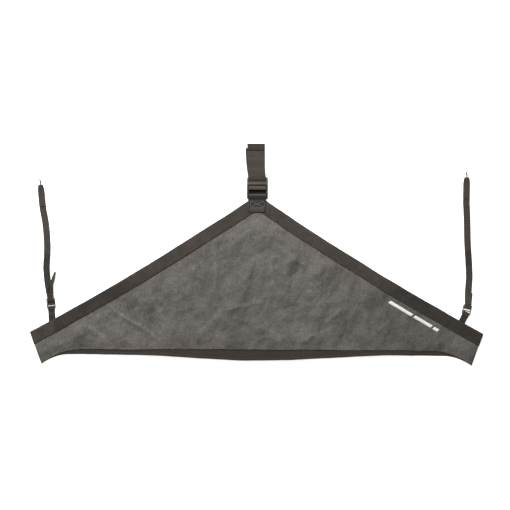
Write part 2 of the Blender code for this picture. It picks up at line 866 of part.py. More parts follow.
def add_side_straps():
    small = {"inner": 0.0108, "rail_width": 0.0021, "rounding": 0.0004}
    heights = (0.0012, 0.0055, 0.0030)
    ladder_lock(
        "left_buckle", LEFT_BUCKLE, NARROW_BARS, NARROW_HALF, heights=heights, **small
    )
    ladder_lock(
        "right_buckle",
        RIGHT_BUCKLE,
        NARROW_BARS,
        NARROW_HALF,
        heights=heights,
        flip=NARROW_FLIP_Z,
        **small,
    )
    add_side_tab("left", LEFT_BUCKLE, NARROW_BARS, (-0.6132, -0.1950), 0.018)
    add_side_tab("right", RIGHT_BUCKLE, flipped_bars(), (0.6132, -0.2020), 0.018)
    add_left_wrap()
    add_left_run()
    add_left_tail()
    add_right_wrap()
    add_right_run()
    add_right_tail()
    add_strap_end("left", LEFT_END, 0.063, 0.0683)
    add_strap_end("right", RIGHT_END, 0.061, 0.0697)
    add_hook("left", LEFT_END, 6.0, 0.0022)
    add_hook("right", RIGHT_END, 16.0, 0.0010)


add_panel()
add_center_strap()
add_side_straps()
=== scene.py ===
"""The look of the strap-on canvas cover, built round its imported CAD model.

X runs across the cover, Y towards the apex strap and Z up. Metres throughout.
"""

import math
import random

import bpy
from mathutils import Matrix, Vector, noise


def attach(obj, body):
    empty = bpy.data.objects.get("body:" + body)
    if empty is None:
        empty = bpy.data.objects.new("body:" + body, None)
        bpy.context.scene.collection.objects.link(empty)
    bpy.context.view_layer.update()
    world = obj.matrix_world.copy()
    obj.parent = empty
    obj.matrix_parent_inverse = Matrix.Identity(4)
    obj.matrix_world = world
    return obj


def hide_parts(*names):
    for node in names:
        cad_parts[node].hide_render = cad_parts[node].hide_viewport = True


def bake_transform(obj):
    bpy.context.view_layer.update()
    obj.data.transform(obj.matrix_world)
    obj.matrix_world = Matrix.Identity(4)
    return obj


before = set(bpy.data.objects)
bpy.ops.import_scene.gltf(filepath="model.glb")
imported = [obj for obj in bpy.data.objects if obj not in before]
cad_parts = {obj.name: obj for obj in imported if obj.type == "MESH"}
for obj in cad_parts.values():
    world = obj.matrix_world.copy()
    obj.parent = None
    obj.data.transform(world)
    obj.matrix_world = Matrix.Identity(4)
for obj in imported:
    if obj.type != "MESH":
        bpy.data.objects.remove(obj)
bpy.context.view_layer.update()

# The panel's outline and its flat layers, as in the CAD model
HALF_SPAN = 0.680
END_TOP_Y = -0.234
CORNER_X = 0.644
CORNER_Y = -0.331
EDGE_START = 0.178
EDGE_SLOPE = 0.677
EDGE_SAG = 0.1
BAND_WIDTH = 0.038
SEAM_DEPTH = 0.024
APEX_CLIP_Y = 0.162
CANVAS_TOP_Y = 0.129
LINING_TOP_Y = 0.101
LINING_BOTTOM_Y = -0.268
CANVAS_EDGE_Y = -0.2865
FLAP_EDGE_Y = -0.3015
FLAP_DROP = 0.017
FLAP_DROP_HALF_WIDTH = 0.430
BINDING_WIDTH = 0.008
BINDING_HALF_LENGTH = 0.470
PLY = 0.0012
GAP = 0.0003
PITCH = PLY + GAP
WRAP = GAP + PLY / 2
WIDE = 0.050
NARROW = 0.0202
FOLD_WIDTH = 0.0140
WIRE_RADIUS = 0.0013
CENTER_TOP_Y = 0.331
CENTER_FOLD_Y = 0.318
CENTER_HEM = 0.020
# A buckle lying on its face has its bars at this height less their own
FLIP_Z = 0.0067

CENTER_BUCKLE = (0.0, 0.19925, 0.0)
LEFT_BUCKLE = (-0.6162, -0.1498, 6.0)
RIGHT_BUCKLE = (0.6284, -0.1637, -12.0)
LEFT_END = (-0.6489, 0.2024, 5.6)
RIGHT_END = (0.6267, 0.2304, -0.6)
LEFT_ROOT = (-0.6132, -0.1950)
RIGHT_ROOT = (0.6132, -0.2020)
WIDE_BARS = {
    "tab": (-0.0283, -0.0208, 0.0030, 0.0066), "lock": (-0.0052, 0.0018, 0.0030, 0.0060),
    "grip": (0.0088, 0.0188, 0.0045, 0.0072), "end": (0.0258, 0.0312, 0.0030, 0.0046),
}
NARROW_BARS = {
    "tab": (-0.0144, -0.0118, 0.0015, 0.0041), "lock": (-0.0046, -0.0020, 0.0015, 0.0039),
    "grip": (0.0036, 0.0062, 0.0030, 0.0052), "end": (0.0112, 0.0139, 0.0015, 0.0030),
}
FLIPPED_BARS = {
    key: (start, stop, FLIP_Z - high, FLIP_Z - low)
    for key, (start, stop, low, high) in NARROW_BARS.items()
}

UP = Vector((0.0, 0.0, 1.0))
ACROSS = Vector((1.0, 0.0, 0.0))

# ---- materials


class Nodes:
    """A Principled material under construction."""

    def __init__(self, name, colour, roughness, **settings):
        self.material = bpy.data.materials.new(name)
        self.material.use_nodes = True
        self.tree = self.material.node_tree
        self.shader = self.tree.nodes["Principled BSDF"]
        self.shader.inputs["Base Color"].default_value = (*colour, 1.0)
        self.shader.inputs["Roughness"].default_value = roughness
        for key, value in settings.items():
            self.shader.inputs[key.replace("_", " ")].default_value = value

    def add(self, kind, **values):
        node = self.tree.nodes.new(f"ShaderNode{kind}")
        for key, value in values.items():
            setattr(node, key, value)
        return node

    def link(self, out, into):
        self.tree.links.new(out, into)

    def math(self, operation, a, b=0.0, c=0.0):
        node = self.add("Math", operation=operation)
        for socket, value in zip(node.inputs, (a, b, c)):
            if isinstance(value, (int, float)):
                socket.default_value = value
            else:
                self.link(value, socket)
        return node.outputs[0]

    def product(self, first, *others):
        for other in others:
            first = self.math("MULTIPLY", first, other)
        return first

    def wave(self, value, pitch):
        return self.math("SINE", self.math("MULTIPLY", value, 2 * math.pi / pitch))

    def split(self, vector):
        node = self.add("SeparateXYZ")
        self.link(vector, node.inputs[0])
        return node.outputs

    def point_value(self, name):
        return self.add("Attribute", attribute_name=name).outputs["Fac"]

    def place(self):
        return self.add("TexCoord").outputs["Object"]

    def cloth(self, scale=(1.0, 1.0, 1.0)):
        """The weave's own coordinates: metres across and along the cloth."""
        mapping = self.add("Mapping")
        mapping.inputs["Scale"].default_value = scale
        self.link(self.add("Attribute", attribute_name="cloth").outputs["Vector"], mapping.inputs["Vector"])
        return mapping.outputs[0]

    def noise(self, vector, scale, detail=3.0, rough=0.55):
        node = self.add("TexNoise")
        node.inputs["Scale"].default_value = scale
        node.inputs["Detail"].default_value = detail
        node.inputs["Roughness"].default_value = rough
        self.link(vector, node.inputs["Vector"])
        return node.outputs["Fac"]

    def ranged(self, value, low, high, start, stop):
        """Maps low to high onto start to stop, and keeps to those beyond them."""
        node = self.add("MapRange")
        for key, number in zip(("From Min", "From Max", "To Min", "To Max"), (low, high, start, stop)):
            node.inputs[key].default_value = number
        self.link(value, node.inputs["Value"])
        return node.outputs[0]

    def spread(self, value, low, high):
        """Maps a noise value of about 0.3 to 0.7 onto low to high."""
        return self.ranged(value, 0.3, 0.7, low, high)

    def tint(self, colour, factor):
        """The base colour, multiplied by a factor that varies over the surface."""
        node = self.add("VectorMath", operation="SCALE")
        if isinstance(colour, tuple):
            node.inputs[0].default_value = colour
        else:
            self.link(colour, node.inputs[0])
        self.link(factor, node.inputs["Scale"])
        self.link(node.outputs[0], self.shader.inputs["Base Color"])

    def mix(self, factor, a, b):
        node = self.add("Mix", data_type="RGBA")
        self.link(factor, node.inputs["Factor"])
        node.inputs["A"].default_value = (*a, 1.0)
        node.inputs["B"].default_value = (*b, 1.0)
        return node.outputs["Result"]

    def bump(self, height, distance, strength=1.0):
        node = self.add("Bump")
        node.inputs["Distance"].default_value = distance
        node.inputs["Strength"].default_value = strength
        self.link(height, node.inputs["Height"])
        self.link(node.outputs[0], self.shader.inputs["Normal"])

    def rough(self, value):
        self.link(value, self.shader.inputs["Roughness"])


def canvas_material():
    """Waxed canvas: a plain weave with slubs, cloudy patches and pale worn creases."""
    n = Nodes("waxed_canvas", CANVAS, 0.8, Sheen_Weight=0.15, Sheen_Roughness=0.5)
    flat = n.cloth()
    warp = n.noise(n.cloth((330.0, 40.0, 1.0)), 1.0, 3.0, 0.7)
    weft = n.noise(n.cloth((40.0, 330.0, 1.0)), 1.0, 3.0, 0.7)
    grit = n.noise(flat, 210.0, 4.0, 0.8)
    cloud = n.noise(flat, 30.0, 5.0, 0.65)
    patch = n.noise(flat, 9.0, 3.0)
    tone = n.product(
        n.spread(warp, 0.86, 1.14), n.spread(weft, 0.86, 1.14), n.spread(grit, 0.58, 1.42),
        n.spread(cloud, 0.86, 1.14), n.spread(patch, 0.84, 1.16), n.point_value("tone"),
    )
    chalk = n.product(n.point_value("wear"), n.spread(n.noise(flat, 160.0, 3.0), 0.2, 0.8))
    n.tint(n.mix(chalk, CANVAS, CANVAS_WORN), tone)
    weave = n.product(plain_weave(n, CANVAS_PITCH), 0.00012)
    slubs = n.math("MULTIPLY_ADD", n.math("ADD", warp, weft), 0.00045, weave)
    folds = n.noise(n.cloth((15.0, 10.0, 1.0)), 1.0, 3.0, 0.42)
    n.bump(n.math("MULTIPLY_ADD", folds, 0.0300, slubs), 1.0)
    n.rough(n.spread(cloud, 0.74, 0.9))
    return n.material


def plain_weave(n, pitch):
    """Two crossed waves of this pitch along the cloth's own directions."""
    across, along = n.split(n.cloth())[:2]
    return n.product(n.wave(across, pitch), n.wave(along, pitch))


def plain_cloth_material(name, colour, pitch, spread=0.12):
    n = Nodes(name, colour, 0.92, Sheen_Weight=0.12, Sheen_Roughness=0.5)
    flat = n.cloth()
    grain = n.noise(flat, 380.0, 3.0, 0.7)
    cloud = n.noise(flat, 22.0, 3.0)
    tone = n.product(n.spread(grain, 1 - spread, 1 + spread), n.spread(cloud, 0.9, 1.1))
    weave = plain_weave(n, pitch)
    tone = n.math("MULTIPLY_ADD", n.product(weave, tone), 0.08, tone)
    n.tint(colour, tone)
    n.bump(weave, 0.0003, 0.7)
    return n.material


def webbing_material(name, colour, spread=0.10, bars=0.0):
    """Nylon webbing: a herringbone of fine ribs, paler on the crests, rubbed in places,
    with wider bars across it where it has been pulled through a buckle."""
    n = Nodes(name, colour, 0.7, Sheen_Weight=0.1, Sheen_Roughness=0.4, Specular_IOR_Level=0.3)
    across, along = n.split(n.cloth())[:2]
    column = n.math("PINGPONG", across, 0.0032)
    slant = n.math("MULTIPLY_ADD", column, 0.9, along)
    ribs = n.math("MULTIPLY_ADD", n.wave(across, 0.0016), 0.35, n.wave(slant, 0.0021))
    grain = n.noise(n.cloth(), 500.0, 2.0)
    band = n.noise(n.cloth((3.0, 45.0, 1.0)), 1.0, 3.0)
    cross = n.wave(n.math("ADD", along, n.product(band, 0.010)), 0.0057)
    # The points' tone carries painted shade and painted highlights on the straps and tabs.
    tone = n.product(
        n.spread(grain, 1 - spread, 1 + spread), n.spread(band, 0.9, 1.1),
        n.math("MULTIPLY_ADD", ribs, 0.10, 1.0), n.math("MULTIPLY_ADD", cross, bars, 1.0),
        n.point_value("tone"),
    )
    rust = n.spread(n.noise(n.cloth((60.0, 40.0, 1.0)), 1.0, 3.0), -0.6, 1.0)
    n.tint(n.mix(rust, colour, (colour[0] * 1.15, colour[1] * 0.98, colour[2] * 0.84)), tone)
    n.bump(n.math("MULTIPLY_ADD", cross, bars * 4.0, ribs), 0.00020, 0.8)
    n.rough(n.spread(grain, 0.62, 0.80))
    return n.material


def thread_material(name, colour):
    n = Nodes(name, colour, 0.55, Sheen_Weight=0.2)
    where = n.place()
    n.tint(colour, n.spread(n.noise(where, 900.0, 2.0), 0.8, 1.2))
    n.bump(n.noise(where, 2500.0, 1.0), 0.0001, 0.6)
    return n.material


def plastic_material(name, grip=None):
    """Moulded acetal: a fine matt grain, with painted highlights on its edges and over the grip.
    The grip is the stretch of Y, with the buckle at rest, that gets the painted highlight."""
    n = Nodes(name, PLASTIC, 0.5, Specular_IOR_Level=0.35)
    where = n.place()
    grain = n.noise(where, 1800.0, 2.0)
    smear = n.noise(where, 120.0, 4.0, 0.65)
    # Pale edges found by pointiness: a painted highlight.
    edges = n.ranged(n.add("NewGeometry").outputs["Pointiness"], 0.50, 0.62, 0.0, 0.5)
    if grip:
        along = n.split(where)[1]
        # Painted highlight over the grip bar.
        highlight_in = n.ranged(along, grip[0], grip[0] + GRIP_EDGE, 0.0, 1.0)
        ended = n.ranged(along, grip[1] - GRIP_EDGE, grip[1], 1.0, 0.0)
        edges = n.math("MAXIMUM", edges, n.product(highlight_in, ended))
    n.tint(n.mix(edges, PLASTIC, PLASTIC_PAINTED_HIGHLIGHT), n.spread(smear, 0.88, 1.12))
    n.bump(n.math("MULTIPLY_ADD", smear, 2.0, grain), 0.00006, 0.6)
    n.rough(n.spread(smear, 0.42, 0.60))
    return n.material


def wire_material():
    """Zinc-plated wire with drawing marks and dull spots."""
    n = Nodes("plated_wire", WIRE, 0.34, Metallic=1.0)
    where = n.place()
    dull = n.noise(where, 240.0, 4.0, 0.7)
    n.tint(WIRE, n.spread(dull, 0.72, 1.1))
    n.rough(n.spread(dull, 0.26, 0.5))
    n.bump(n.noise(where, 1400.0, 2.0), 0.00005, 0.5)
    return n.material


def print_material():
    """Worn white ink in the canvas weave."""
    n = Nodes("printed_ink", PRINT, 0.7)
    n.tint(PRINT, n.spread(n.noise(n.cloth(), 700.0, 2.0), 0.92, 1.05))
    n.bump(plain_weave(n, CANVAS_PITCH), 0.0003, 0.5)
    return n.material


CANVAS = (0.122, 0.112, 0.099)
CANVAS_WORN = (0.200, 0.188, 0.170)
LINING = (0.036, 0.030, 0.024)
FLAP = (0.041, 0.030, 0.022)
HEM = (0.042, 0.034, 0.028)
BAND = (0.052, 0.044, 0.0375)
STRAP = (0.054, 0.0465, 0.0405)
LOOP = (0.058, 0.049, 0.0415)
THREAD = (0.036, 0.031, 0.026)
PALE_THREAD = (0.160, 0.145, 0.128)
STRAP_THREAD = (0.070, 0.060, 0.051)
PLASTIC = (0.020, 0.015, 0.012)
PLASTIC_PAINTED_HIGHLIGHT = (0.120, 0.102, 0.086)
WIRE = (0.11, 0.10, 0.09)
PRINT = (0.95, 0.94, 0.93)
CANVAS_PITCH = 0.0013

# The stretch of Y on the centre buckle's grip that gets a painted highlight, and how softly it ends
GRIP_PAINTED_HIGHLIGHT = (0.2076, 0.2164)
GRIP_EDGE = 0.0015

CANVAS_CLOTH = canvas_material()
LINING_CLOTH = plain_cloth_material("backing_cloth", LINING, 0.0010)
FLAP_CLOTH = plain_cloth_material("flap_cloth", FLAP, 0.0011, 0.16)
HEM_TAPE = plain_cloth_material("hem_tape", HEM, 0.0015)
BAND_WEB = webbing_material("band_webbing", BAND)
STRAP_WEB = webbing_material("strap_webbing", STRAP, 0.10, 0.10)
LOOP_WEB = webbing_material("loop_webbing", LOOP, 0.10, 0.14)
SEWING = thread_material("sewing_thread", THREAD)
PALE_SEWING = thread_material("pale_thread", PALE_THREAD)
STRAP_SEWING = thread_material("strap_thread", STRAP_THREAD)
MOULDING = plastic_material("moulded_plastic")
GRIP_MOULDING = plastic_material("plastic_with_painted_highlight", GRIP_PAINTED_HIGHLIGHT)
PLATED = wire_material()
INK = print_material()

# ---- meshes


class Shape:
    """Points and faces of one piece, with each point's place in the cloth."""

    def __init__(self):
        self.points = []
        self.faces = []
        self.slots = []
        self.cloth = []
        self.wear = []
        self.tone = []

    def add(self, points, faces, slot=0, cloth=None, wear=None, tone=None):
        start = len(self.points)
        self.points += points
        self.faces += [[start + i for i in face] for face in faces]
        self.slots += [slot] * len(faces)
        self.cloth += cloth or [tuple(p) for p in points]
        self.wear += wear or [0.0] * len(points)
        self.tone += tone or [1.0] * len(points)

    def build(self, name, *materials):
        mesh = bpy.data.meshes.new(name)
        mesh.from_pydata([tuple(p) for p in self.points], [], self.faces)
        for material in materials:
            mesh.materials.append(material)
        mesh.polygons.foreach_set("material_index", self.slots)
        mesh.polygons.foreach_set("use_smooth", [True] * len(self.faces))
        layer = mesh.attributes.new("cloth", "FLOAT_VECTOR", "POINT")
        layer.data.foreach_set("vector", [c for point in self.cloth for c in point])
        for key, values in (("wear", self.wear), ("tone", self.tone)):
            mesh.attributes.new(key, "FLOAT", "POINT").data.foreach_set("value", values)
        return put_in_scene(name, mesh)


def put_in_scene(name, data):
    obj = bpy.data.objects.new(name, data)
    bpy.context.scene.collection.objects.link(obj)
    return obj


def ease(low, high, value):
    share = min(max((value - low) / (high - low), 0.0), 1.0)
    return share * share * (3 - 2 * share)


def wander(x, y, scale, seed):
    return noise.noise(Vector((x * scale + seed, y * scale - seed, seed * 1.7)))


# ---- the panel's outline


def upper_edge(x):
    return EDGE_START - EDGE_SLOPE * x + EDGE_SAG * x * x


def edge_slope(x):
    return 2 * EDGE_SAG * x - EDGE_SLOPE


def inside_edge(x, depth):
    """A point at this depth in from the upper edge, square to it."""
    slope = edge_slope(x)
    length = math.hypot(1.0, slope)
    return (x + slope / length * depth, upper_edge(x) - depth / length)


def end_line(y):
    run = (HALF_SPAN - CORNER_X) / (END_TOP_Y - CORNER_Y)
    return HALF_SPAN - run * (END_TOP_Y - y)


def solve(test, low, high):
    """Halves the interval until test changes sign in a very short one."""
    for _ in range(40):
        middle = (low + high) / 2
        if test(middle) > 0:
            high = middle
        else:
            low = middle
    return (low + high) / 2


def edge_y(x, depth):
    """Height of the line at this depth inside the upper edge."""
    x = abs(x)
    return upper_edge(x) - depth * math.hypot(1.0, edge_slope(x))


def canvas_edge(x):
    """The canvas's lower edge, straight in the middle and dropping at both ends."""
    past = max(0.0, abs(x) - 0.520) / 0.121
    return CANVAS_EDGE_Y - 0.0415 * past**2.2


def flap_edge(x):
    """The flap's lower edge, bowed in the middle and dropping to both corners."""
    wave = 0.5 + 0.5 * math.cos(math.pi * min(abs(x) / FLAP_DROP_HALF_WIDTH, 1.0))
    past = max(0.0, abs(x) - 0.560) / (CORNER_X - 0.560)
    return FLAP_EDGE_Y - FLAP_DROP * wave - (FLAP_EDGE_Y - CORNER_Y) * past**2


# ---- how the cloth lies

# Where the whole panel stands off the table: x, y, reach in x, reach in y, rise
SWELLS = [
    (-0.43, -0.075, 0.090, 0.060, 0.0045), (-0.22, 0.020, 0.070, 0.050, 0.0035),
    (0.20, 0.030, 0.080, 0.050, 0.0040), (0.42, -0.070, 0.090, 0.055, 0.0038),
    (-0.24, -0.305, 0.080, 0.040, 0.0035), (0.10, -0.325, 0.070, 0.040, 0.0040),
    (0.36, -0.300, 0.070, 0.040, 0.0035), (-0.66, -0.300, 0.040, 0.040, 0.0030),
    (0.66, -0.310, 0.045, 0.040, 0.0040),
]

# Folds that storing the cover has left in it: from, to, half width, rise
CREASES = [
    (-0.442, -0.152, -0.292, -0.266, 0.0075, 0.0036), (-0.132, 0.045, -0.126, -0.060, 0.0060, 0.0022),
    (-0.126, -0.060, -0.120, -0.140, 0.0050, 0.0018), (-0.184, -0.262, -0.100, -0.165, 0.0100, 0.0020),
    (-0.106, -0.168, 0.010, -0.142, 0.0070, 0.0020), (-0.330, -0.085, -0.275, -0.205, 0.0110, 0.0018),
    (-0.205, -0.030, -0.160, -0.075, 0.0060, 0.0014), (-0.075, 0.035, -0.020, 0.070, 0.0080, 0.0016),
    (0.045, -0.035, 0.060, -0.110, 0.0070, 0.0018), (0.157, -0.195, 0.225, -0.105, 0.0080, 0.0018),
    (0.200, -0.215, 0.262, -0.150, 0.0060, 0.0014), (0.115, -0.258, 0.245, -0.218, 0.0090, 0.0018),
    (0.060, 0.030, 0.150, -0.030, 0.0090, 0.0016), (-0.010, -0.215, 0.075, -0.250, 0.0080, 0.0016),
    (0.300, -0.120, 0.345, -0.200, 0.0070, 0.0013), (-0.520, -0.205, -0.450, -0.255, 0.0080, 0.0016),
]


SHORT_CREASES = 46
CREASE_SEED = 5


def random_creases(count, seed):
    """More short soft folds, scattered over the canvas."""
    draw = random.Random(seed)
    found = []
    while len(found) < count:
        x = draw.uniform(-0.56, 0.56)
        y = draw.uniform(-0.275, 0.10)
        heading = draw.uniform(0, math.pi)
        length = draw.uniform(0.03, 0.11)
        half = draw.uniform(0.004, 0.010)
        rise = draw.uniform(0.0005, 0.0013)
        if y < edge_y(x, 0.055):
            dx, dy = math.cos(heading) * length / 2, math.sin(heading) * length / 2
            found.append((x - dx, y - dy, x + dx, y + dy, half, rise))
    return found


ALL_CREASES = CREASES + random_creases(SHORT_CREASES, CREASE_SEED)


# Where webbing holds the cloth flat: x, y, reach
HELD_FLAT = [(0.0, 0.150, 0.100), (-0.613, -0.20, 0.080), (0.615, -0.205, 0.080)]


def still(x, y):
    """0 near the apex and the side tabs, rising to 1 away from them."""
    held = 1.0
    for px, py, reach in HELD_FLAT:
        held *= ease(reach * 0.45, reach, math.hypot(x - px, y - py))
    return held


def swell(x, y):
    """How far every layer of the panel stands off the table here."""
    rise = 0.0
    for cx, cy, rx, ry, height in SWELLS:
        away = ((x - cx) / rx) ** 2 + ((y - cy) / ry) ** 2
        if away < 9:
            rise += height * math.exp(-away)
    rise += 0.0006 * max(0.0, wander(x, y, 9.0, 3.1) + 0.35)
    return rise * still(x, y)


def drift(x, y):
    """In-plane waviness of every layer's edges."""
    held = still(x, y)
    dx = 0.0011 * wander(x, y, 8.0, 11.0) * held
    dy = (0.0016 * wander(x, y, 9.0, 23.0) + 0.0006 * wander(x, y, 28.0, 31.0)) * held
    return dx, dy


def crease_rise(x, y, seek):
    """Height of the folds at a point, and how near it is to a worn crest."""
    rise, crest = 0.0, 0.0
    for x0, y0, x1, y1, half, height in seek:
        along_x, along_y = x1 - x0, y1 - y0
        length2 = along_x * along_x + along_y * along_y
        share = ((x - x0) * along_x + (y - y0) * along_y) / length2
        if -0.15 < share < 1.15:
            bend = 0.12 * math.sin(3.0 * share + height * 4000)
            side = ((x - x0) * along_y - (y - y0) * along_x) / length2
            away = abs(side - bend * 0.15) * math.sqrt(length2) / half
            if away < 3.5:
                fade = ease(-0.15, 0.25, share) * ease(1.15, 0.75, share)
                shape = math.exp(-away * 1.6) * (1 + away * 0.9)
                rise += height * shape * fade
                sharp = min((height / 0.0024) ** 1.5, 1.0)
                crest = max(crest, fade * math.exp(-(away * 1.5) ** 2) * sharp)
    return rise, crest


def crumple(x, y):
    """Height of the canvas above its layer, and its wear."""
    inner = (edge_y(x, BAND_WIDTH) - y) * 0.84
    mask = ease(0.002, 0.040, inner) * ease(0.0, 0.030, y - canvas_edge(x))
    mask *= ease(0.66, 0.60, abs(x))
    if mask <= 0:
        return 0.0, 0.0
    wx = x + 0.012 * wander(x, y, 12.0, 41.0)
    wy = y + 0.012 * wander(x, y, 12.0, 47.0)
    ridge = 1 - abs(wander(wx, wy, 9.0, 5.0)) * 2.2
    fine = 1 - abs(wander(wx, wy, 22.0, 9.0)) * 2.2
    broad = wander(x, y, 6.0, 17.0) + 0.5
    rise, crest = crease_rise(wx, wy, ALL_CREASES)
    rise += 0.0016 * max(ridge, -0.3) + 0.0009 * max(fine, -0.3) + 0.0022 * broad
    rise += 0.0009 * wander(x, y, 45.0, 29.0)
    worn = max(crest, 0.16 * ease(0.60, 1.0, ridge), 0.14 * ease(0.65, 1.0, fine))
    return max(rise, 0.0) * mask, worn * mask


# ---- sheets


def close_grid(rows, columns):
    """Faces of a top and a bottom grid of points and the rim between them."""
    size = rows * columns
    faces = []
    for j in range(rows - 1):
        for i in range(columns - 1):
            a = j * columns + i
            faces.append((a, a + 1, a + columns + 1, a + columns))
            faces.append((size + a, size + a + columns, size + a + columns + 1, size + a + 1))
    rim = list(range(columns))
    rim += [j * columns + columns - 1 for j in range(1, rows)]
    rim += [(rows - 1) * columns + i for i in range(columns - 2, -1, -1)]
    rim += [j * columns for j in range(rows - 2, 0, -1)]
    for a, b in zip(rim, rim[1:] + rim[:1]):
        faces.append((b, a, size + a, size + b))
    return faces


def slab(shape, grid, height, wear=None, tone=None):
    """A sheet over a grid of (x, y) rows, its middle at height(x, y), softly edged."""
    rows, columns = len(grid), len(grid[0])
    top, bottom, cloth, worn, shade = [], [], [], [], []
    for j, row in enumerate(grid):
        for i, (x, y) in enumerate(row):
            dx, dy = drift(x, y)
            level = height(x, y) + swell(x, y)
            edge = i in (0, columns - 1) or j in (0, rows - 1)
            half = PLY * (0.28 if edge else 0.5)
            top.append((x + dx, y + dy, level + half))
            bottom.append((x + dx, y + dy, level - half))
            cloth.append((x, y, 0.0))
            worn.append(wear(x, y) if wear else 0.0)
            shade.append(tone(x, y) if tone else 1.0)
    shape.add(top + bottom, close_grid(rows, columns), 0, cloth * 2, worn * 2, shade * 2)


def between(top, bottom, columns, rows, edge=0.0012):
    """A grid of rows between two lists of points, with a narrow border all round."""
    lines = [(*bottom(s), *top(s)) for s in border_shares(columns, edge / 4)]
    return [
        [(x0 + (x1 - x0) * t, y0 + (y1 - y0) * t) for x0, y0, x1, y1 in lines]
        for t in border_shares(rows, edge)
    ]


def border_shares(count, edge):
    """Shares of a width, evenly spaced but for a short first and last step."""
    inner = [i / (count - 3) for i in range(count - 2)]
    return [0.0] + [edge * 4 + (1 - edge * 8) * v for v in inner] + [1.0]


def flat_level(level):
    """Height of the middle of a flat layer, counted from 0 at the table."""
    return level * PITCH + PLY / 2


def canvas_tone(x, y):
    """A little paler towards the apex, and darker on the right than on the left."""
    top = 0.16 * ease(0.02, 0.12, y) + 0.10 * wander(x, y, 7.0, 51.0)
    return 1.02 + top - 0.13 * ease(0.12, 0.52, x) - 0.02 * ease(-0.30, -0.55, x)


def add_sheet(kind, material, grid, height, node, wear=None, tone=None):
    shape = Shape()
    slab(shape, grid, height, wear, tone)
    piece = shape.build(f"{kind}_panel", material)
    finish(piece, "panel", kind, node)
    return piece


def add_canvas():
    known = {}

    def measured(x, y):
        key = (round(x, 6), round(y, 6))
        if key not in known:
            known[key] = crumple(x, y)
        return known[key]

    def top(s):
        x = 0.6709 * (2 * s - 1)
        return x, min(CANVAS_TOP_Y, edge_y(x, SEAM_DEPTH))

    def bottom(s):
        x = 0.6410 * (2 * s - 1)
        return x, canvas_edge(x)

    def height(x, y):
        return flat_level(1) + measured(x, y)[0]

    def wear(x, y):
        return measured(x, y)[1]

    grid = between(top, bottom, 460, 128)
    return add_sheet("canvas", CANVAS_CLOTH, grid, height, "front_canvas", wear, canvas_tone)


def add_lining():
    def top(s):
        x = 0.6645 * (2 * s - 1)
        return x, min(LINING_TOP_Y, edge_y(x, SEAM_DEPTH + 0.002))

    def bottom(s):
        return (end_line(LINING_BOTTOM_Y) - 0.006) * (2 * s - 1), LINING_BOTTOM_Y

    grid = between(top, bottom, 240, 60)
    return add_sheet("lining", LINING_CLOTH, grid, lambda x, y: flat_level(0), "back_lining")


def add_flap():
    high = LINING_BOTTOM_Y - 0.002

    def top(s):
        return (end_line(high) - 0.0008) * (2 * s - 1), high

    def bottom(s):
        x = (CORNER_X - 0.0005) * (2 * s - 1)
        return x, flap_edge(x)

    grid = between(top, bottom, 360, 20)
    return add_sheet("flap", FLAP_CLOTH, grid, flap_height, "lower_flap")


def flap_height(x, y):
    """The flap ripples a little below the canvas, and is flat under it."""
    below = ease(CANVAS_EDGE_Y - 0.002, CANVAS_EDGE_Y - 0.020, y)
    middle = ease(0.60, 0.50, abs(x))
    ripple = 0.0011 * (0.6 + wander(x, 0.0, 14.0, 7.0) + 0.4 * wander(x, 0.0, 40.0, 8.0))
    return flat_level(0) + max(0.0, ripple) * below * middle


def add_hem():
    """Tape folded over the flap's lower edge, with its row of stitches."""

    def bottom(s):
        x = BINDING_HALF_LENGTH * (2 * s - 1)
        return x, flap_edge(x) - 0.0004

    def top(s):
        x, y = bottom(s)
        return x, y + BINDING_WIDTH

    shape = Shape()
    slab(shape, between(top, bottom, 300, 7, 0.03), lambda x, y: PITCH + flap_height(x, y))
    line = [(x, y - 0.0015) for x, y in (top(i / 400) for i in range(401))]
    sew(shape, [on_panel(x, y, PITCH + flap_height(x, y)) for x, y in line])
    piece = shape.build("flap_hem", HEM_TAPE, SEWING)
    finish(piece, "panel", "flap", "flap_binding")
    return piece


def on_panel(x, y, level, lift=PLY / 2):
    """A point on top of a panel layer whose middle is at this level."""
    dx, dy = drift(x, y)
    return Vector((x + dx, y + dy, level + swell(x, y) + lift))


def band_rows(depths, count):
    """Rows of points along the upper edge's right half, mitred at the apex."""
    rows = []
    for depth in depths:
        mitre = solve(lambda x: inside_edge(x, depth)[0] - GAP / 2, 0.0, 0.1)
        clip = solve(lambda x: APEX_CLIP_Y - inside_edge(x, depth)[1], -0.05, 0.5)
        first = max(mitre, clip)
        last = solve(lambda x: inside_edge(x, depth)[0] - end_line(inside_edge(x, depth)[1]), 0.4, 0.75)
        steps = [first + (last - first) * t for t in border_shares(count, 0.0004)]
        rows.append([inside_edge(x, depth) for x in steps])
    return rows


def band_tone(x, y):
    """Darker on the outer half of each slope, paler at the left end, and mottled."""
    slope = ease(0.30, 0.50, abs(x))
    end = 0.35 * ease(-0.600, -0.612, x)
    pucker = 0.20 * wander(x, y, 90.0, 6.0) + 0.16 * wander(x, y, 30.0, 8.0)
    return 1.08 - 0.34 * slope + 0.08 * wander(x, y, 5.0, 2.0) + pucker + end


def add_band(side, sign):
    depths = [BAND_WIDTH * t for t in border_shares(13, 0.006)]
    grid = [[(sign * x, y) for x, y in row] for row in band_rows(depths, 260)]
    if sign > 0:
        grid = [list(row) for row in reversed(grid)]
    shape = Shape()
    slab(shape, grid, band_height, tone=band_tone)
    follow_edge(shape, sign)
    for depth in (0.0030, 0.0350):
        line = band_rows([depth], 420)[0]
        path = [on_panel(sign * x, y, band_height(x, y)) for x, y in line]
        sew(shape, path)
    piece = shape.build(f"{side}_band", BAND_WEB, SEWING)
    finish(piece, "panel", "webbing", f"{side}_edge_band")
    return piece


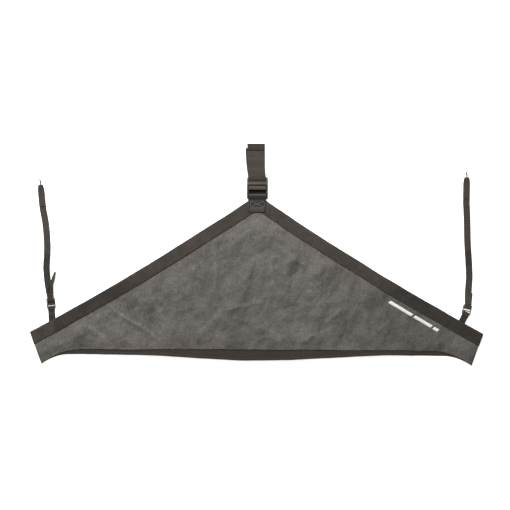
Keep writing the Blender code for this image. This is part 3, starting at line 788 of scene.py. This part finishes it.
def band_height(x, y):
    """The webbing puckers a little between its two rows of stitches."""
    x = abs(x)
    depth = (upper_edge(x) - y) / math.hypot(1.0, edge_slope(x))
    pucker = 0.0004 * math.sin(math.pi * min(max(depth / BAND_WIDTH, 0.0), 1.0))
    wave = 0.5 + 0.5 * math.sin(x * 210.0 + 2.0 * math.sin(x * 37.0))
    return flat_level(2) + pucker * wave


MEAN_SLOPE = -0.6


def follow_edge(shape, sign):
    """Turns the weave's coordinates to run along the sloping edge."""
    angle = math.atan2(MEAN_SLOPE, sign)
    for i, (x, y, _) in enumerate(shape.cloth):
        along = x * math.cos(angle) + y * math.sin(angle)
        over = -x * math.sin(angle) + y * math.cos(angle)
        shape.cloth[i] = (over, along, 0.0)


# ---- stitches


STITCH_HEIGHT = 0.0005


def thread_stitch(shape, a, b, width):
    """One stitch: a short thread that dips into the cloth at both ends."""
    side = (b - a).normalized().cross(UP).normalized()
    points = []
    for t, rise, wide in ((0.0, -0.25, 0.55), (0.2, 0.75, 1.0), (0.8, 0.75, 1.0), (1.0, -0.25, 0.55)):
        centre = a.lerp(b, t)
        for u, v in ((-0.5, -0.3), (-0.3, 0.6), (0.3, 0.6), (0.5, -0.3)):
            lift = UP * STITCH_HEIGHT * (v * 0.6 + rise * 0.5)
            points.append(centre + side * (width * u * wide) + lift)
    faces = [(3, 2, 1, 0), (12, 13, 14, 15)]
    for ring in (0, 4, 8):
        for k in range(4):
            n = (k + 1) % 4
            faces.append((ring + k, ring + n, ring + 4 + n, ring + 4 + k))
    shape.add(points, faces, 1)


def resample(path, step):
    """Points at equal distances along a polyline."""
    found = [path[0]]
    left = step
    for a, b in zip(path, path[1:]):
        span = (b - a).length
        while span > 1e-9 and left <= span:
            found.append(a.lerp(b, left / span))
            left += step
        left -= span
    return found


def sew(shape, path, pitch=0.0042, width=0.0008):
    """A row of stitches along a path, in the piece's second material."""
    spots = resample(path, pitch)
    for a, b in zip(spots, spots[1:]):
        thread_stitch(shape, a.lerp(b, 0.10), a.lerp(b, 0.90), width)


def box_and_cross(low, high, z):
    """Paths of a sewn rectangle with both of its diagonals."""
    (x0, y0), (x1, y1) = low, high
    a, b, c, d = (Vector((x, y, z)) for x, y in ((x0, y0), (x1, y0), (x1, y1), (x0, y1)))
    return [[a, b], [b, c], [c, d], [d, a], [a, c], [b, d]]


# ---- webbing strips


def half_turn(u, z, radius, steps):
    """Points (along, up) of a fold: a half circle round this place, from below to above."""
    angles = [-math.pi / 2 + math.pi * i / steps for i in range(steps + 1)]
    return [(u + radius * math.cos(angle), z + radius * math.sin(angle)) for angle in angles]


def fillet(points, radius, steps=7):
    """Rounds each inner corner of a path with an arc."""
    path = [points[0]]
    for before, corner, after in zip(points, points[1:], points[2:]):
        back = (before - corner).normalized()
        ahead = (after - corner).normalized()
        half = back.angle(ahead) / 2
        if half > math.pi / 2 - 0.01:
            path.append(corner)
            continue
        room = 0.5 * min((before - corner).length, (after - corner).length)
        reach = min(radius / math.tan(half), room)
        centre = corner + (back + ahead).normalized() * (reach / math.cos(half))
        start = corner + back * reach - centre
        axis = start.cross(corner + ahead * reach - centre)
        turn = math.pi - 2 * half
        for i in range(steps + 1):
            path.append(centre + Matrix.Rotation(turn * i / steps, 3, axis) @ start)
    return path + [points[-1]]


def smooth_route(points, per_span=10):
    """A smooth curve through (x, y, z, roll) points, its height easing between them."""
    full = [Vector(p) for p in points]
    ends = [2 * full[0] - full[1]] + full + [2 * full[-1] - full[-2]]
    route = []
    for a, b, c, d in zip(ends, ends[1:], ends[2:], ends[3:]):
        for i in range(per_span):
            t = i / per_span
            bend = 2 * b + (c - a) * t
            bend += (2 * a - 5 * b + 4 * c - d) * t * t
            bend += (3 * b - a - 3 * c + d) * t**3
            point = bend * 0.5
            point.z = b.z + (c.z - b.z) * t * t * (3 - 2 * t)
            route.append(point)
    return route + [full[-1]]


def heading_ways(degrees):
    angle = math.radians(degrees)
    along = Vector((-math.sin(angle), math.cos(angle), 0.0))
    across = Vector((math.cos(angle), math.sin(angle), 0.0))
    return along, across


def seen_from(place, u, z, r=0.0):
    """World point at u along, r across and z up from a buckle's centre."""
    x, y, degrees = place
    along, across = heading_ways(degrees)
    return Vector((x, y, 0.0)) + along * u + across * r + UP * z


# Half section of webbing: share of the half width, share of the half thickness
SECTION = [(-1.0, 0.0), (-0.99, 0.55), (-0.965, 0.92), (-0.90, 1.0), (-0.6, 0.94), (-0.2, 0.98)]
SECTION += [(-u, v) for u, v in reversed(SECTION)]
RING = SECTION + [(u, -v) for u, v in reversed(SECTION[1:-1])]


def strip(shape, stations, tone=None):
    """Webbing through stations of (centre, across, width), closed at both ends."""
    points, cloth, shade = [], [], []
    travelled = 0.0
    for i, (centre, across, width) in enumerate(stations):
        ahead = stations[min(i + 1, len(stations) - 1)][0]
        behind = stations[max(i - 1, 0)][0]
        if i:
            travelled += (centre - stations[i - 1][0]).length
        normal = across.cross(ahead - behind).normalized()
        for u, v in RING:
            points.append(centre + across * (u * width / 2) + normal * (v * PLY / 2))
            cloth.append((u * width / 2, travelled, 0.0))
            shade.append(tone(travelled) if tone else 1.0)
    count = len(RING)
    faces = [tuple(range(count - 1, -1, -1))]
    for ring in range(len(stations) - 1):
        for k in range(count):
            n = (k + 1) % count
            a = ring * count
            faces.append((a + k, a + n, a + count + n, a + count + k))
    last = (len(stations) - 1) * count
    faces.append(tuple(range(last, last + count)))
    shape.add(points, faces, 0, cloth, None, shade)


def densify(points, step):
    """Adds points to the long spans of a path."""
    found = [points[0]]
    for a, b in zip(points, points[1:]):
        parts = max(1, math.ceil((b - a).length / step))
        found += [a.lerp(b, k / parts) for k in range(1, parts + 1)]
    return found


def folded_stations(place, corners, width, radius):
    """Stations of a strip that bends only in the plane along a buckle."""
    flat = fillet([Vector((u, z, 0.0)) for u, z in corners], radius)
    across = heading_ways(place[2])[1]
    return [(seen_from(place, p.x, p.y), across, width) for p in densify(flat, 0.004)]


def rolled_across(along, roll):
    side = Vector((along.y, -along.x, 0.0)).normalized()
    angle = math.radians(roll)
    return side * math.cos(angle) - UP * math.sin(angle)


def lying_stations(route, width, first_across):
    points = smooth_route(route)
    spots = [Vector(p[:3]) for p in points]
    stations = []
    for i, spot in enumerate(spots):
        along = spots[min(i + 1, len(spots) - 1)] - spots[max(i - 1, 0)]
        across = rolled_across(along, points[i][3]) if i else first_across
        stations.append((spot, across, width))
    return stations


def finish(piece, body, slot, *nodes, bend=None):
    """Attaches a piece to the body it rides on, or, for a piece given a bend, bakes its transform into its
    mesh; and hides the CAD nodes it stands for.
    """
    if bend:
        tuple(bend[1])
        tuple(bend[2])
        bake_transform(piece)
    else:
        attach(piece, body)
    if nodes:
        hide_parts(*nodes)


def add_strip(name, stations, body, node, material=None, tone=None, bend=None):
    """A length of webbing that is a piece of its own."""
    shape = Shape()
    strip(shape, stations, tone)
    finish(shape.build(name, material or STRAP_WEB), body, "webbing", node, bend=bend)


# ---- centre strap


def add_apex_tab():
    start, stop, low, high = WIDE_BARS["tab"]
    centre_y = CENTER_BUCKLE[1]
    front = 3.5 * PITCH - GAP / 2
    corners = [(0.126 - centre_y, front), (0.158 - centre_y, front)]
    corners += [(start - 0.0008, high + WRAP), (stop + WRAP, high + WRAP)]
    corners += [(stop + WRAP, low - WRAP), (0.132 - centre_y, low - WRAP)]
    shape = Shape()
    strip(shape, folded_stations(CENTER_BUCKLE, corners, WIDE + 0.0002, 0.0018), tab_painted_shade_and_highlight)
    face = front + PLY / 2
    paths = box_and_cross((-0.0205, 0.1400), (0.0205, 0.1595), face)
    for y in (0.1365, 0.1325, 0.1285):
        paths.append([Vector((-0.0225, y, face)), Vector((0.0225, y, face))])
    for path in paths:
        sew(shape, path, pitch=0.0034, width=0.0015)
    piece = shape.build("apex_tab", STRAP_WEB, PALE_SEWING)
    bend = ("center_buckle", (0.0, 0.1625, 0.0), (0.0, 0.1715, 0.0))
    finish(piece, "panel", "webbing", "center_tab", bend=bend)


def tab_painted_shade_and_highlight(travelled):
    """Painted shade on the slope below the tab bar, and a painted highlight on its crest."""
    slope = ease(0.036, 0.040, travelled) * ease(0.0495, 0.0470, travelled)
    crest = ease(0.0495, 0.0505, travelled) * ease(0.0545, 0.0535, travelled)
    return 0.58 - 0.24 * slope + 0.90 * crest


def center_drift(y):
    share = min(max((y - 0.225) / (CENTER_FOLD_Y - 0.225), 0.0), 1.0)
    return -0.0005 - 0.009 * (1 - (1 - share) ** 2)


def add_center_back():
    """The back layer from where it is sewn behind the apex to under the buckle."""
    heights = [0.104 + (0.2285 - 0.104) * i / 40 for i in range(41)]
    stations = [(Vector((center_drift(y), y, PLY / 2)), ACROSS, WIDE + 0.0036) for y in heights]
    add_strip(
        "center_strap_back", stations, "panel", "center_strap_anchor", LOOP_WEB,
        # Under the buckle its tone drops to near black: painted shadow in the buckle's slot.
        tone=lambda s: 0.05 if s > 0.066 else 1.0,
        bend=("center_buckle", (0.0, 0.1660, 0.0), (0.0, 0.1800, 0.0)),
    )


def add_center_loop():
    """Both lower layers of the loop, from under the buckle round its fold."""
    radius = PITCH / 2
    straight = 0.316
    front_end = CENTER_BUCKLE[1] + 0.0335
    path = [(0.2288 + (straight - 0.2288) * i / 24, PLY / 2) for i in range(24)]
    path += half_turn(CENTER_FOLD_Y - PLY / 2 - radius, PLY / 2 + radius, radius, 12)
    path += [(straight + (front_end - straight) * i / 22, PLY / 2 + PITCH) for i in range(1, 23)]
    path = [Vector((0.0, y, z)) for y, z in path]
    for point in path:
        point.x = center_drift(point.y)
    stations = [(point, ACROSS, WIDE + 0.0026) for point in path]
    add_strip(
        "center_strap_fold", stations, "center_buckle", "center_strap_loop", LOOP_WEB,
        # Both lower layers get one darker tone throughout: painted shade under the free end.
        tone=lambda s: 0.55, bend=("center_loop", (0.0, 0.2340, 0.0), (0.0, 0.3050, 0.0)),
    )


def wrap_painted_highlight_and_shade(travelled):
    """Painted highlight up to and over the locking bar, painted shade from the grip bar on."""
    return 1.45 - 0.65 * ease(0.054, 0.057, travelled)


def add_center_wrap():
    lock, grip, end = (WIDE_BARS[key] for key in ("lock", "grip", "end"))
    corners = [(0.0332, PLY / 2 + PITCH), (lock[0] - WRAP, PLY / 2 + PITCH)]
    corners += [(lock[0] - WRAP, lock[3] + WRAP), (lock[1] + WRAP, lock[3] + WRAP)]
    corners += [(lock[1] + WRAP, grip[2] - WRAP), (grip[1] + WRAP, grip[2] - WRAP)]
    corners += [(end[0] - 0.001, end[3] + WRAP), (0.0332, end[3] + WRAP)]
    place = (CENTER_BUCKLE[0] - 0.0001, CENTER_BUCKLE[1], 0.0)
    stations = folded_stations(place, corners, WIDE + 0.0006, 0.0012)
    name, node = "center_strap_in_buckle", "center_strap_wrap"
    add_strip(name, stations, "center_buckle", node, LOOP_WEB, wrap_painted_highlight_and_shade)


def add_center_tail():
    y0 = CENTER_BUCKLE[1]
    high = WIDE_BARS["end"][3] + WRAP
    level = PLY / 2 + 2 * PITCH
    knots = [
        (-0.0016, y0 + 0.0330, high, 0.0), (-0.0034, y0 + 0.0500, level + 0.0012, 0.0),
        (-0.0040, y0 + 0.0620, level + 0.0003, 0.0), (-0.0042, y0 + 0.0780, level + 0.0012, 0.0),
        (-0.0042, y0 + 0.0950, level + 0.0002, 0.0), (-0.0044, y0 + 0.1120, level, 0.0),
    ]
    path = [Vector(p[:3]) for p in smooth_route(knots)]
    radius = PITCH / 2
    fold = half_turn(CENTER_TOP_Y - PLY / 2 - radius, level + radius, radius, 12)
    hem_y = CENTER_TOP_Y - CENTER_HEM
    fold += [(y, level + PITCH) for y in (0.3275, 0.322, 0.316, hem_y + 0.001)]
    fold.append((hem_y, level + PITCH - 0.0002))
    path += [Vector((-0.0044, y, z)) for y, z in fold]
    fold_at = CENTER_TOP_Y - (y0 + 0.0335) + 0.0015
    shape = Shape()
    stations = [(p, ACROSS, WIDE + 0.0028) for p in path]
    strip(shape, stations, lambda s: 0.66 if s > fold_at else 1.0)
    face = level + PITCH + PLY / 2
    for y in (hem_y + 0.0025, CENTER_TOP_Y - 0.0035):
        sew(shape, [Vector((-0.0265, y, face)), Vector((0.0185, y, face))], pitch=0.0034)
    piece = shape.build("center_strap_free_end", LOOP_WEB, SEWING)
    bend = ("center_tail", (0.0, 0.2350, 0.0), (0.0, 0.3050, 0.0))
    finish(piece, "center_buckle", "webbing", "center_strap_tail", bend=bend)


# ---- side straps


def add_side_tab(side, place, bars, root, sewn, slack, skew):
    """The tab's loop reaches past the bar by its slack, and lies askew by a share of
    the angle between the tab and the buckle."""
    start, stop, low, high = bars["tab"]
    bar_point = seen_from(place, (start + stop) / 2, 0.0)
    root_point = Vector((*root, 0.0))
    span = (bar_point - root_point).length
    along = (bar_point - root_point) / span
    side_way = Vector((along.y, -along.x, 0.0))
    bar_along, bar_across = heading_ways(place[2])
    under = PLY / 2
    over = PLY / 2 + PITCH
    reach = (stop - start) / 2 + WRAP + slack
    corners = [(-span - sewn, over), (-0.013, over), (-0.003, high + WRAP), (reach, high + WRAP)]
    corners += [(reach, low - WRAP), (-0.003, low - WRAP), (-0.011, under), (-span - sewn, under)]
    stations = []
    for p in densify(fillet([Vector((s, z, 0.0)) for s, z in corners], 0.0013), 0.003):
        turn = ease(-0.0040, -0.0015, p.x)
        way = along.lerp(bar_along, turn).normalized()
        across = side_way.lerp(bar_across, turn * (1 - skew)).normalized()
        stations.append((bar_point + way * p.x + UP * p.y, across, NARROW))
    first = bar_point - along * 0.0075
    last = bar_point - along * 0.0015
    add_strip(
        f"{side}_tab_webbing", stations, "panel", f"{side}_tab",
        # The tone is darkest where the tab goes in under the band: painted shade there.
        tone=lambda s: 0.45 + 0.45 * ease(0.018, 0.034, s),
        bend=(f"{side}_buckle", tuple(first), tuple(last)),
    )


# How far along a side buckle its strap's turns end and its run begins
WRAP_END = 0.0158
RUN_START = 0.0155


def add_wrap(side, buckle, corners):
    """A side strap's turns through its buckle."""
    stations = folded_stations(buckle, corners, NARROW, 0.0010)
    add_strip(f"{side}_strap_in_buckle", stations, f"{side}_buckle", f"{side}_strap_wrap")


def add_left_wrap():
    lock, grip, end = (NARROW_BARS[key] for key in ("lock", "grip", "end"))
    corners = [(WRAP_END, PLY / 2), (lock[0] - WRAP, PLY / 2)]
    corners += [(lock[0] - WRAP, lock[3] + WRAP), (lock[1] + WRAP, lock[3] + WRAP)]
    corners += [(lock[1] + WRAP, PLY / 2 + PITCH), (grip[1] + WRAP, PLY / 2 + PITCH)]
    corners += [(end[0] - 0.0006, end[3] + WRAP), (WRAP_END, end[3] + WRAP)]
    add_wrap("left", LEFT_BUCKLE, corners)


def add_right_wrap():
    grip, end = (FLIPPED_BARS[key] for key in ("grip", "end"))
    upper = end[3] + WRAP + PITCH
    corners = [(WRAP_END, upper), (grip[0] - WRAP + 0.001, upper), (grip[0] - WRAP, upper - 0.001)]
    corners += [(grip[0] - WRAP, PLY / 2), (grip[1] + WRAP, PLY / 2)]
    corners += [(end[0] - WRAP, end[3] + WRAP), (WRAP_END, end[3] + WRAP)]
    add_wrap("right", RIGHT_BUCKLE, corners)


def run_start(place, z):
    point = seen_from(place, RUN_START, z)
    return (point.x, point.y, z, 0.0)


def on_level(z, *spots):
    """Points of a route that lie flat at one height."""
    return [(x, y, z, 0.0) for x, y in spots]


def strap_end_width(distance):
    share = min(max(distance / 0.017, 0.0), 1.0)
    return FOLD_WIDTH + (NARROW - FOLD_WIDTH) * share**0.6


def end_stations(place, length, lower_length):
    """The doubled end: under the hook's eye, round it and back over itself."""
    radius = WIRE_RADIUS + WRAP
    z = PLY / 2
    over = PLY / 2 + PITCH
    lower = [-0.045, -0.030, -0.022, -0.018, -0.014, -0.011, -0.009, -0.007, -0.005, -0.003]
    path = [(u, z) for u in lower] + half_turn(0.0, z + radius, radius, 14)
    path += [(-0.003, z + 2 * radius - 0.0003), (-0.006, over + 0.0020)]
    path += [(-0.009, over + 0.0012), (-0.014, over + 0.0002)]
    path += [(u, over) for u in (-0.018, -0.022, -0.030, -0.045, 0.0008 - length, -length)]
    path = [Vector((*spot, 0.0)) for spot in path]
    across = heading_ways(place[2])[1]
    return [(seen_from(place, p.x, p.y), across, strap_end_width(-p.x)) for p in path]


def add_run(side, buckle, end_place, route, lengths, bend, dull):
    """One side strap from its buckle to its hook, with the sewn end on top. It is
    darker over its dull stretch: painted shade, where it leans away from the light."""
    stations = lying_stations(route, NARROW, heading_ways(buckle[2])[1])
    stations = stations[:-1] + end_stations(end_place, *lengths)
    shape = Shape()
    first, last = dull

    # Painted shade over the dull stretch, and a faint wave of lighter and darker along the strap.
    def tone(s):
        shade = ease(first - 0.012, first, s) * ease(last + 0.012, last, s)
        return 1.04 + 0.06 * math.sin(s * 31.0 + 1.0) - 0.30 * shade

    strip(shape, stations, tone=tone)
    face = 2 * PLY + GAP
    length = lengths[0]
    across = heading_ways(end_place[2])[1]
    for u in (-length + 0.004, -0.026):
        a = seen_from(end_place, u, face) - across * 0.0078
        b = seen_from(end_place, u, face) + across * 0.0078
        sew(shape, [a, b], pitch=0.0026)
    for r in (-0.0075, 0.0075):
        a = seen_from(end_place, -length + 0.004, face, r)
        b = seen_from(end_place, -0.026, face, r)
        sew(shape, [a, b], pitch=0.0034)
    piece = shape.build(f"{side}_strap_run", STRAP_WEB, STRAP_SEWING)
    finish(
        piece, f"{side}_buckle", "webbing", f"{side}_strap", f"{side}_strap_end",
        bend=(f"{side}_strap", *bend),
    )


def add_left_run():
    z = PLY / 2
    route = [
        run_start(LEFT_BUCKLE, z),
        *on_level(
            z,
            (-0.6230, -0.1097),
            (-0.6260, -0.0918),
            (-0.6288, -0.0675),
            (-0.6306, -0.0405),
            (-0.6287, -0.0045),
            (-0.6287, 0.0315),
            (-0.6325, 0.0795),
            (-0.6373, 0.1100),
            (-0.6420, 0.1328),
        ),
    ]
    bend = ((-0.619, -0.130, 0.0), (-0.634, 0.070, 0.0))
    add_run("left", LEFT_BUCKLE, LEFT_END, route, (0.063, 0.0683), bend, (0.040, 0.125))


def add_left_tail():
    high = NARROW_BARS["end"][3] + WRAP
    route = [
        run_start(LEFT_BUCKLE, high), (-0.6184, -0.1220, 0.0053, 10.0), (-0.6177, -0.1100, 0.0070, 29.0),
        (-0.6157, -0.1000, 0.0090, 50.0), (-0.6137, -0.0920, 0.0099, 64.0),
        (-0.6090, -0.0775, 0.0101, 70.0), (-0.6033, -0.0560, 0.0106, 84.0),
    ]
    add_tail("left", LEFT_BUCKLE, route, ((-0.619, -0.130, 0.0), (-0.612, -0.080, 0.0)))


def add_tail(side, buckle, route, bend):
    shape = Shape()
    strip(shape, lying_stations(route, NARROW, heading_ways(buckle[2])[1]))
    piece = shape.build(f"{side}_strap_free_end", STRAP_WEB)
    finish(piece, f"{side}_buckle", "webbing", f"{side}_strap_tail", bend=(f"{side}_tail", *bend))


def add_right_run():
    upper = FLIPPED_BARS["end"][3] + WRAP + PITCH
    over_tail = PLY / 2 + PITCH
    z = PLY / 2
    route = [
        run_start(RIGHT_BUCKLE, upper),
        *on_level(over_tail, (0.6326, -0.1160), (0.6337, -0.0980)),
        *on_level(
            z,
            (0.6352, -0.0800),
            (0.6359, -0.0645),
            (0.6348, -0.0350),
            (0.6330, -0.0045),
            (0.6300, 0.0435),
            (0.6286, 0.1035),
            (0.6260, 0.1600),
        ),
    ]
    bend = ((0.631, -0.146, 0.0), (0.631, 0.070, 0.0))
    add_run("right", RIGHT_BUCKLE, RIGHT_END, route, (0.061, 0.0697), bend, (0.125, 0.155))


def add_right_tail():
    high = FLIPPED_BARS["end"][3] + WRAP
    z = PLY / 2
    route = [run_start(RIGHT_BUCKLE, high), (0.6347, -0.1290, z, 0.0), (0.6361, -0.1130, z, 0.0)]
    add_tail("right", RIGHT_BUCKLE, route, ((0.631, -0.146, 0.0), (0.635, -0.120, 0.0)))


# ---- hooks and buckles


def hook_stem(lean, sway):
    """The hook's wire as (across, along, up) from the middle of its bar: straight
    out of the fold, bending sideways a little, then turning up and back."""
    rise, fold_end, turn_at = 0.0045, 0.0045, 0.0140
    spots = [(u, 0.0) for u in (0.0, 0.0030, fold_end, 0.0065, 0.0090, 0.0115, turn_at)]
    spots += half_turn(turn_at, rise, rise, 8)[1:]
    spots += [(0.0110, 2 * rise), (0.0088, 2 * rise + 0.0007), (0.0074, 2 * rise + 0.0020)]
    turn = Matrix.Rotation(math.radians(lean), 3, "Z")
    pivot = Vector((0.0, fold_end, 0.0))
    bent = []
    for point in [Vector((0.0, *spot)) for spot in spots]:
        share = min(max((point.y - fold_end) / turn_at, 0.0), 1.0)
        moved = point + Vector((sway * math.sin(math.pi * share), 0.0, 0.0))
        bent.append(turn @ (moved - pivot) + pivot if point.y > fold_end else moved)
    return bent


def add_hook(side, place, lean, sway):
    """The hook: a wire stem and the cross bar in the strap's fold that it swings on."""
    curve = bpy.data.curves.new(f"{side}_wire_hook", "CURVE")
    curve.dimensions = "3D"
    curve.bevel_depth = WIRE_RADIUS
    curve.bevel_resolution = 5
    curve.use_fill_caps = True
    curve.resolution_u = 6
    half = FOLD_WIDTH / 2 - 0.0021
    for path in (hook_stem(lean, sway), [Vector((-half, 0.0, 0.0)), Vector((half, 0.0, 0.0))]):
        spline = curve.splines.new("BEZIER")
        spline.bezier_points.add(len(path) - 1)
        for point, spot in zip(spline.bezier_points, path):
            point.co = spot
            point.handle_left_type = "AUTO"
            point.handle_right_type = "AUTO"
    curve.materials.append(PLATED)
    obj = bpy.data.objects.new(f"{side}_wire_hook", curve)
    bpy.context.scene.collection.objects.link(obj)
    turn = Matrix.Rotation(math.radians(place[2]), 4, "Z")
    obj.matrix_world = Matrix.Translation(seen_from(place, 0.0, PLY / 2 + WIRE_RADIUS + WRAP)) @ turn
    finish(obj, f"{side}_hook", "wire", f"{side}_hook")


def dress_buckles():
    """The buckles keep their CAD shape and get the moulded plastic."""
    looks = {"center_buckle": GRIP_MOULDING, "left_buckle": MOULDING, "right_buckle": MOULDING}
    for name, look in looks.items():
        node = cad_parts[name]
        node.data.materials.clear()
        node.data.materials.append(look)


def add_grip_ribs():
    """Fine ribs moulded across the top of the centre buckle's grip bar."""
    start, stop, _, high = WIDE_BARS["grip"]
    x, y, _ = CENTER_BUCKLE
    shape = Shape()
    for k in range(4):
        centre = y + start + (stop - start) * (k + 0.9) / 4.8
        ring = []
        for side in (-1, 1):
            for dy, dz in ((-0.0006, -0.0002), (-0.00025, 0.0003), (0.00025, 0.0003), (0.0006, -0.0002)):
                ring.append(Vector((x + side * 0.0238, centre + dy, high + dz)))
        faces = [(0, 1, 2, 3), (7, 6, 5, 4)]
        faces += [(a, a + 4, a + 5, a + 1) for a in range(3)]
        faces.append((3, 7, 4, 0))
        shape.add(ring, faces)
    piece = shape.build("center_buckle_ribs", GRIP_MOULDING)
    finish(piece, "center_buckle", "plastic")


# ---- printed mark


def add_mark():
    """A plain printed stripe of slanted bars along the right slope."""
    origin = Vector((0.393, -0.1435, 0.0))
    along = Vector((0.860, -0.510, 0.0))
    up_way = Vector((0.510, 0.860, 0.0))
    shape = Shape()
    spans = [(0.0, 0.080), (0.087, 0.147), (0.153, 0.170)]
    for first, last in spans:
        columns = max(4, int((last - first) / 0.0015))
        points, cloth = [], []
        for j in range(5):
            for i in range(columns + 1):
                s = first + (last - first) * i / columns
                v = 0.0095 * j / 4
                spot = origin + along * (s + v * 0.35) + up_way * v
                level = flat_level(1) + crumple(spot.x, spot.y)[0]
                point = on_panel(spot.x, spot.y, level, PLY / 2 + 0.00015)
                points.append(point)
                cloth.append((spot.x, spot.y, 0.0))
        lower = [p - UP * 0.0003 for p in points]
        shape.add(points + lower, close_grid(5, columns + 1), 0, cloth * 2)
    piece = shape.build("printed_stripe", INK)
    finish(piece, "panel", "canvas")
    return piece


# ---- scene


def add_camera():
    camera = bpy.data.cameras.new("camera")
    camera.lens = 85.0
    camera.sensor_width = 36.0
    camera.clip_end = 80.0
    obj = bpy.data.objects.new("camera", camera)
    bpy.context.scene.collection.objects.link(obj)
    # The width of table that the picture takes in
    width = 1.528
    obj.location = (-0.0062, -0.0025, width * camera.lens / camera.sensor_width)
    obj.rotation_euler = (0.0, 0.0, math.radians(0.26))
    bpy.context.scene.camera = obj


def add_light(name, place, aim, size, power):
    lamp = bpy.data.lights.new(name, "AREA")
    lamp.shape = "DISK"
    lamp.size = size
    lamp.energy = power
    obj = bpy.data.objects.new(name, lamp)
    obj.location = place
    direction = Vector(aim) - Vector(place)
    obj.rotation_euler = direction.to_track_quat("-Z", "Y").to_euler()
    bpy.context.scene.collection.objects.link(obj)


def add_floor():
    mesh = bpy.data.meshes.new("floor")
    r = 25.0
    z = -0.0004
    mesh.from_pydata([(-r, -r, z), (r, -r, z), (r, r, z), (-r, r, z)], [], [(0, 1, 2, 3)])
    glow = {"Emission_Color": (1.0, 1.0, 1.0, 1.0), "Emission_Strength": 0.75}
    mesh.materials.append(Nodes("floor", (0.90, 0.90, 0.90), 0.9, **glow).material)
    floor = bpy.data.objects.new("floor", mesh)
    bpy.context.scene.collection.objects.link(floor)


def add_stage():
    scene = bpy.context.scene
    world = bpy.data.worlds.new("studio")
    world.use_nodes = True
    background = world.node_tree.nodes["Background"]
    background.inputs["Color"].default_value = (1.0, 1.0, 1.0, 1.0)
    background.inputs["Strength"].default_value = 0.22
    scene.world = world
    scene.view_settings.view_transform = "Standard"
    add_floor()
    add_light("key", (-0.9, 2.6, 2.1), (0.0, -0.05, 0.0), 1.0, 158.0)
    add_light("fill", (1.8, -2.2, 2.8), (0.0, 0.0, 0.0), 2.0, 10.0)


def add_panel():
    canvas = add_canvas()
    lining = add_lining()
    flap = add_flap()
    hem = add_hem()
    bands = [add_band("left", -1), add_band("right", 1)]
    mark = add_mark()


def add_straps():
    add_apex_tab()
    add_center_back()
    add_center_loop()
    add_center_wrap()
    add_center_tail()
    add_side_tab("left", LEFT_BUCKLE, NARROW_BARS, LEFT_ROOT, 0.018, 0.0022, 0.0)
    add_side_tab("right", RIGHT_BUCKLE, FLIPPED_BARS, RIGHT_ROOT, 0.018, 0.0044, 1.0)
    add_left_wrap()
    add_left_run()
    add_left_tail()
    add_right_wrap()
    add_right_run()
    add_right_tail()
    add_hook("left", LEFT_END, 6.0, 0.0022)
    add_hook("right", RIGHT_END, 16.0, 0.0010)
    dress_buckles()
    add_grip_ribs()


add_camera()
add_panel()
add_straps()
add_stage()
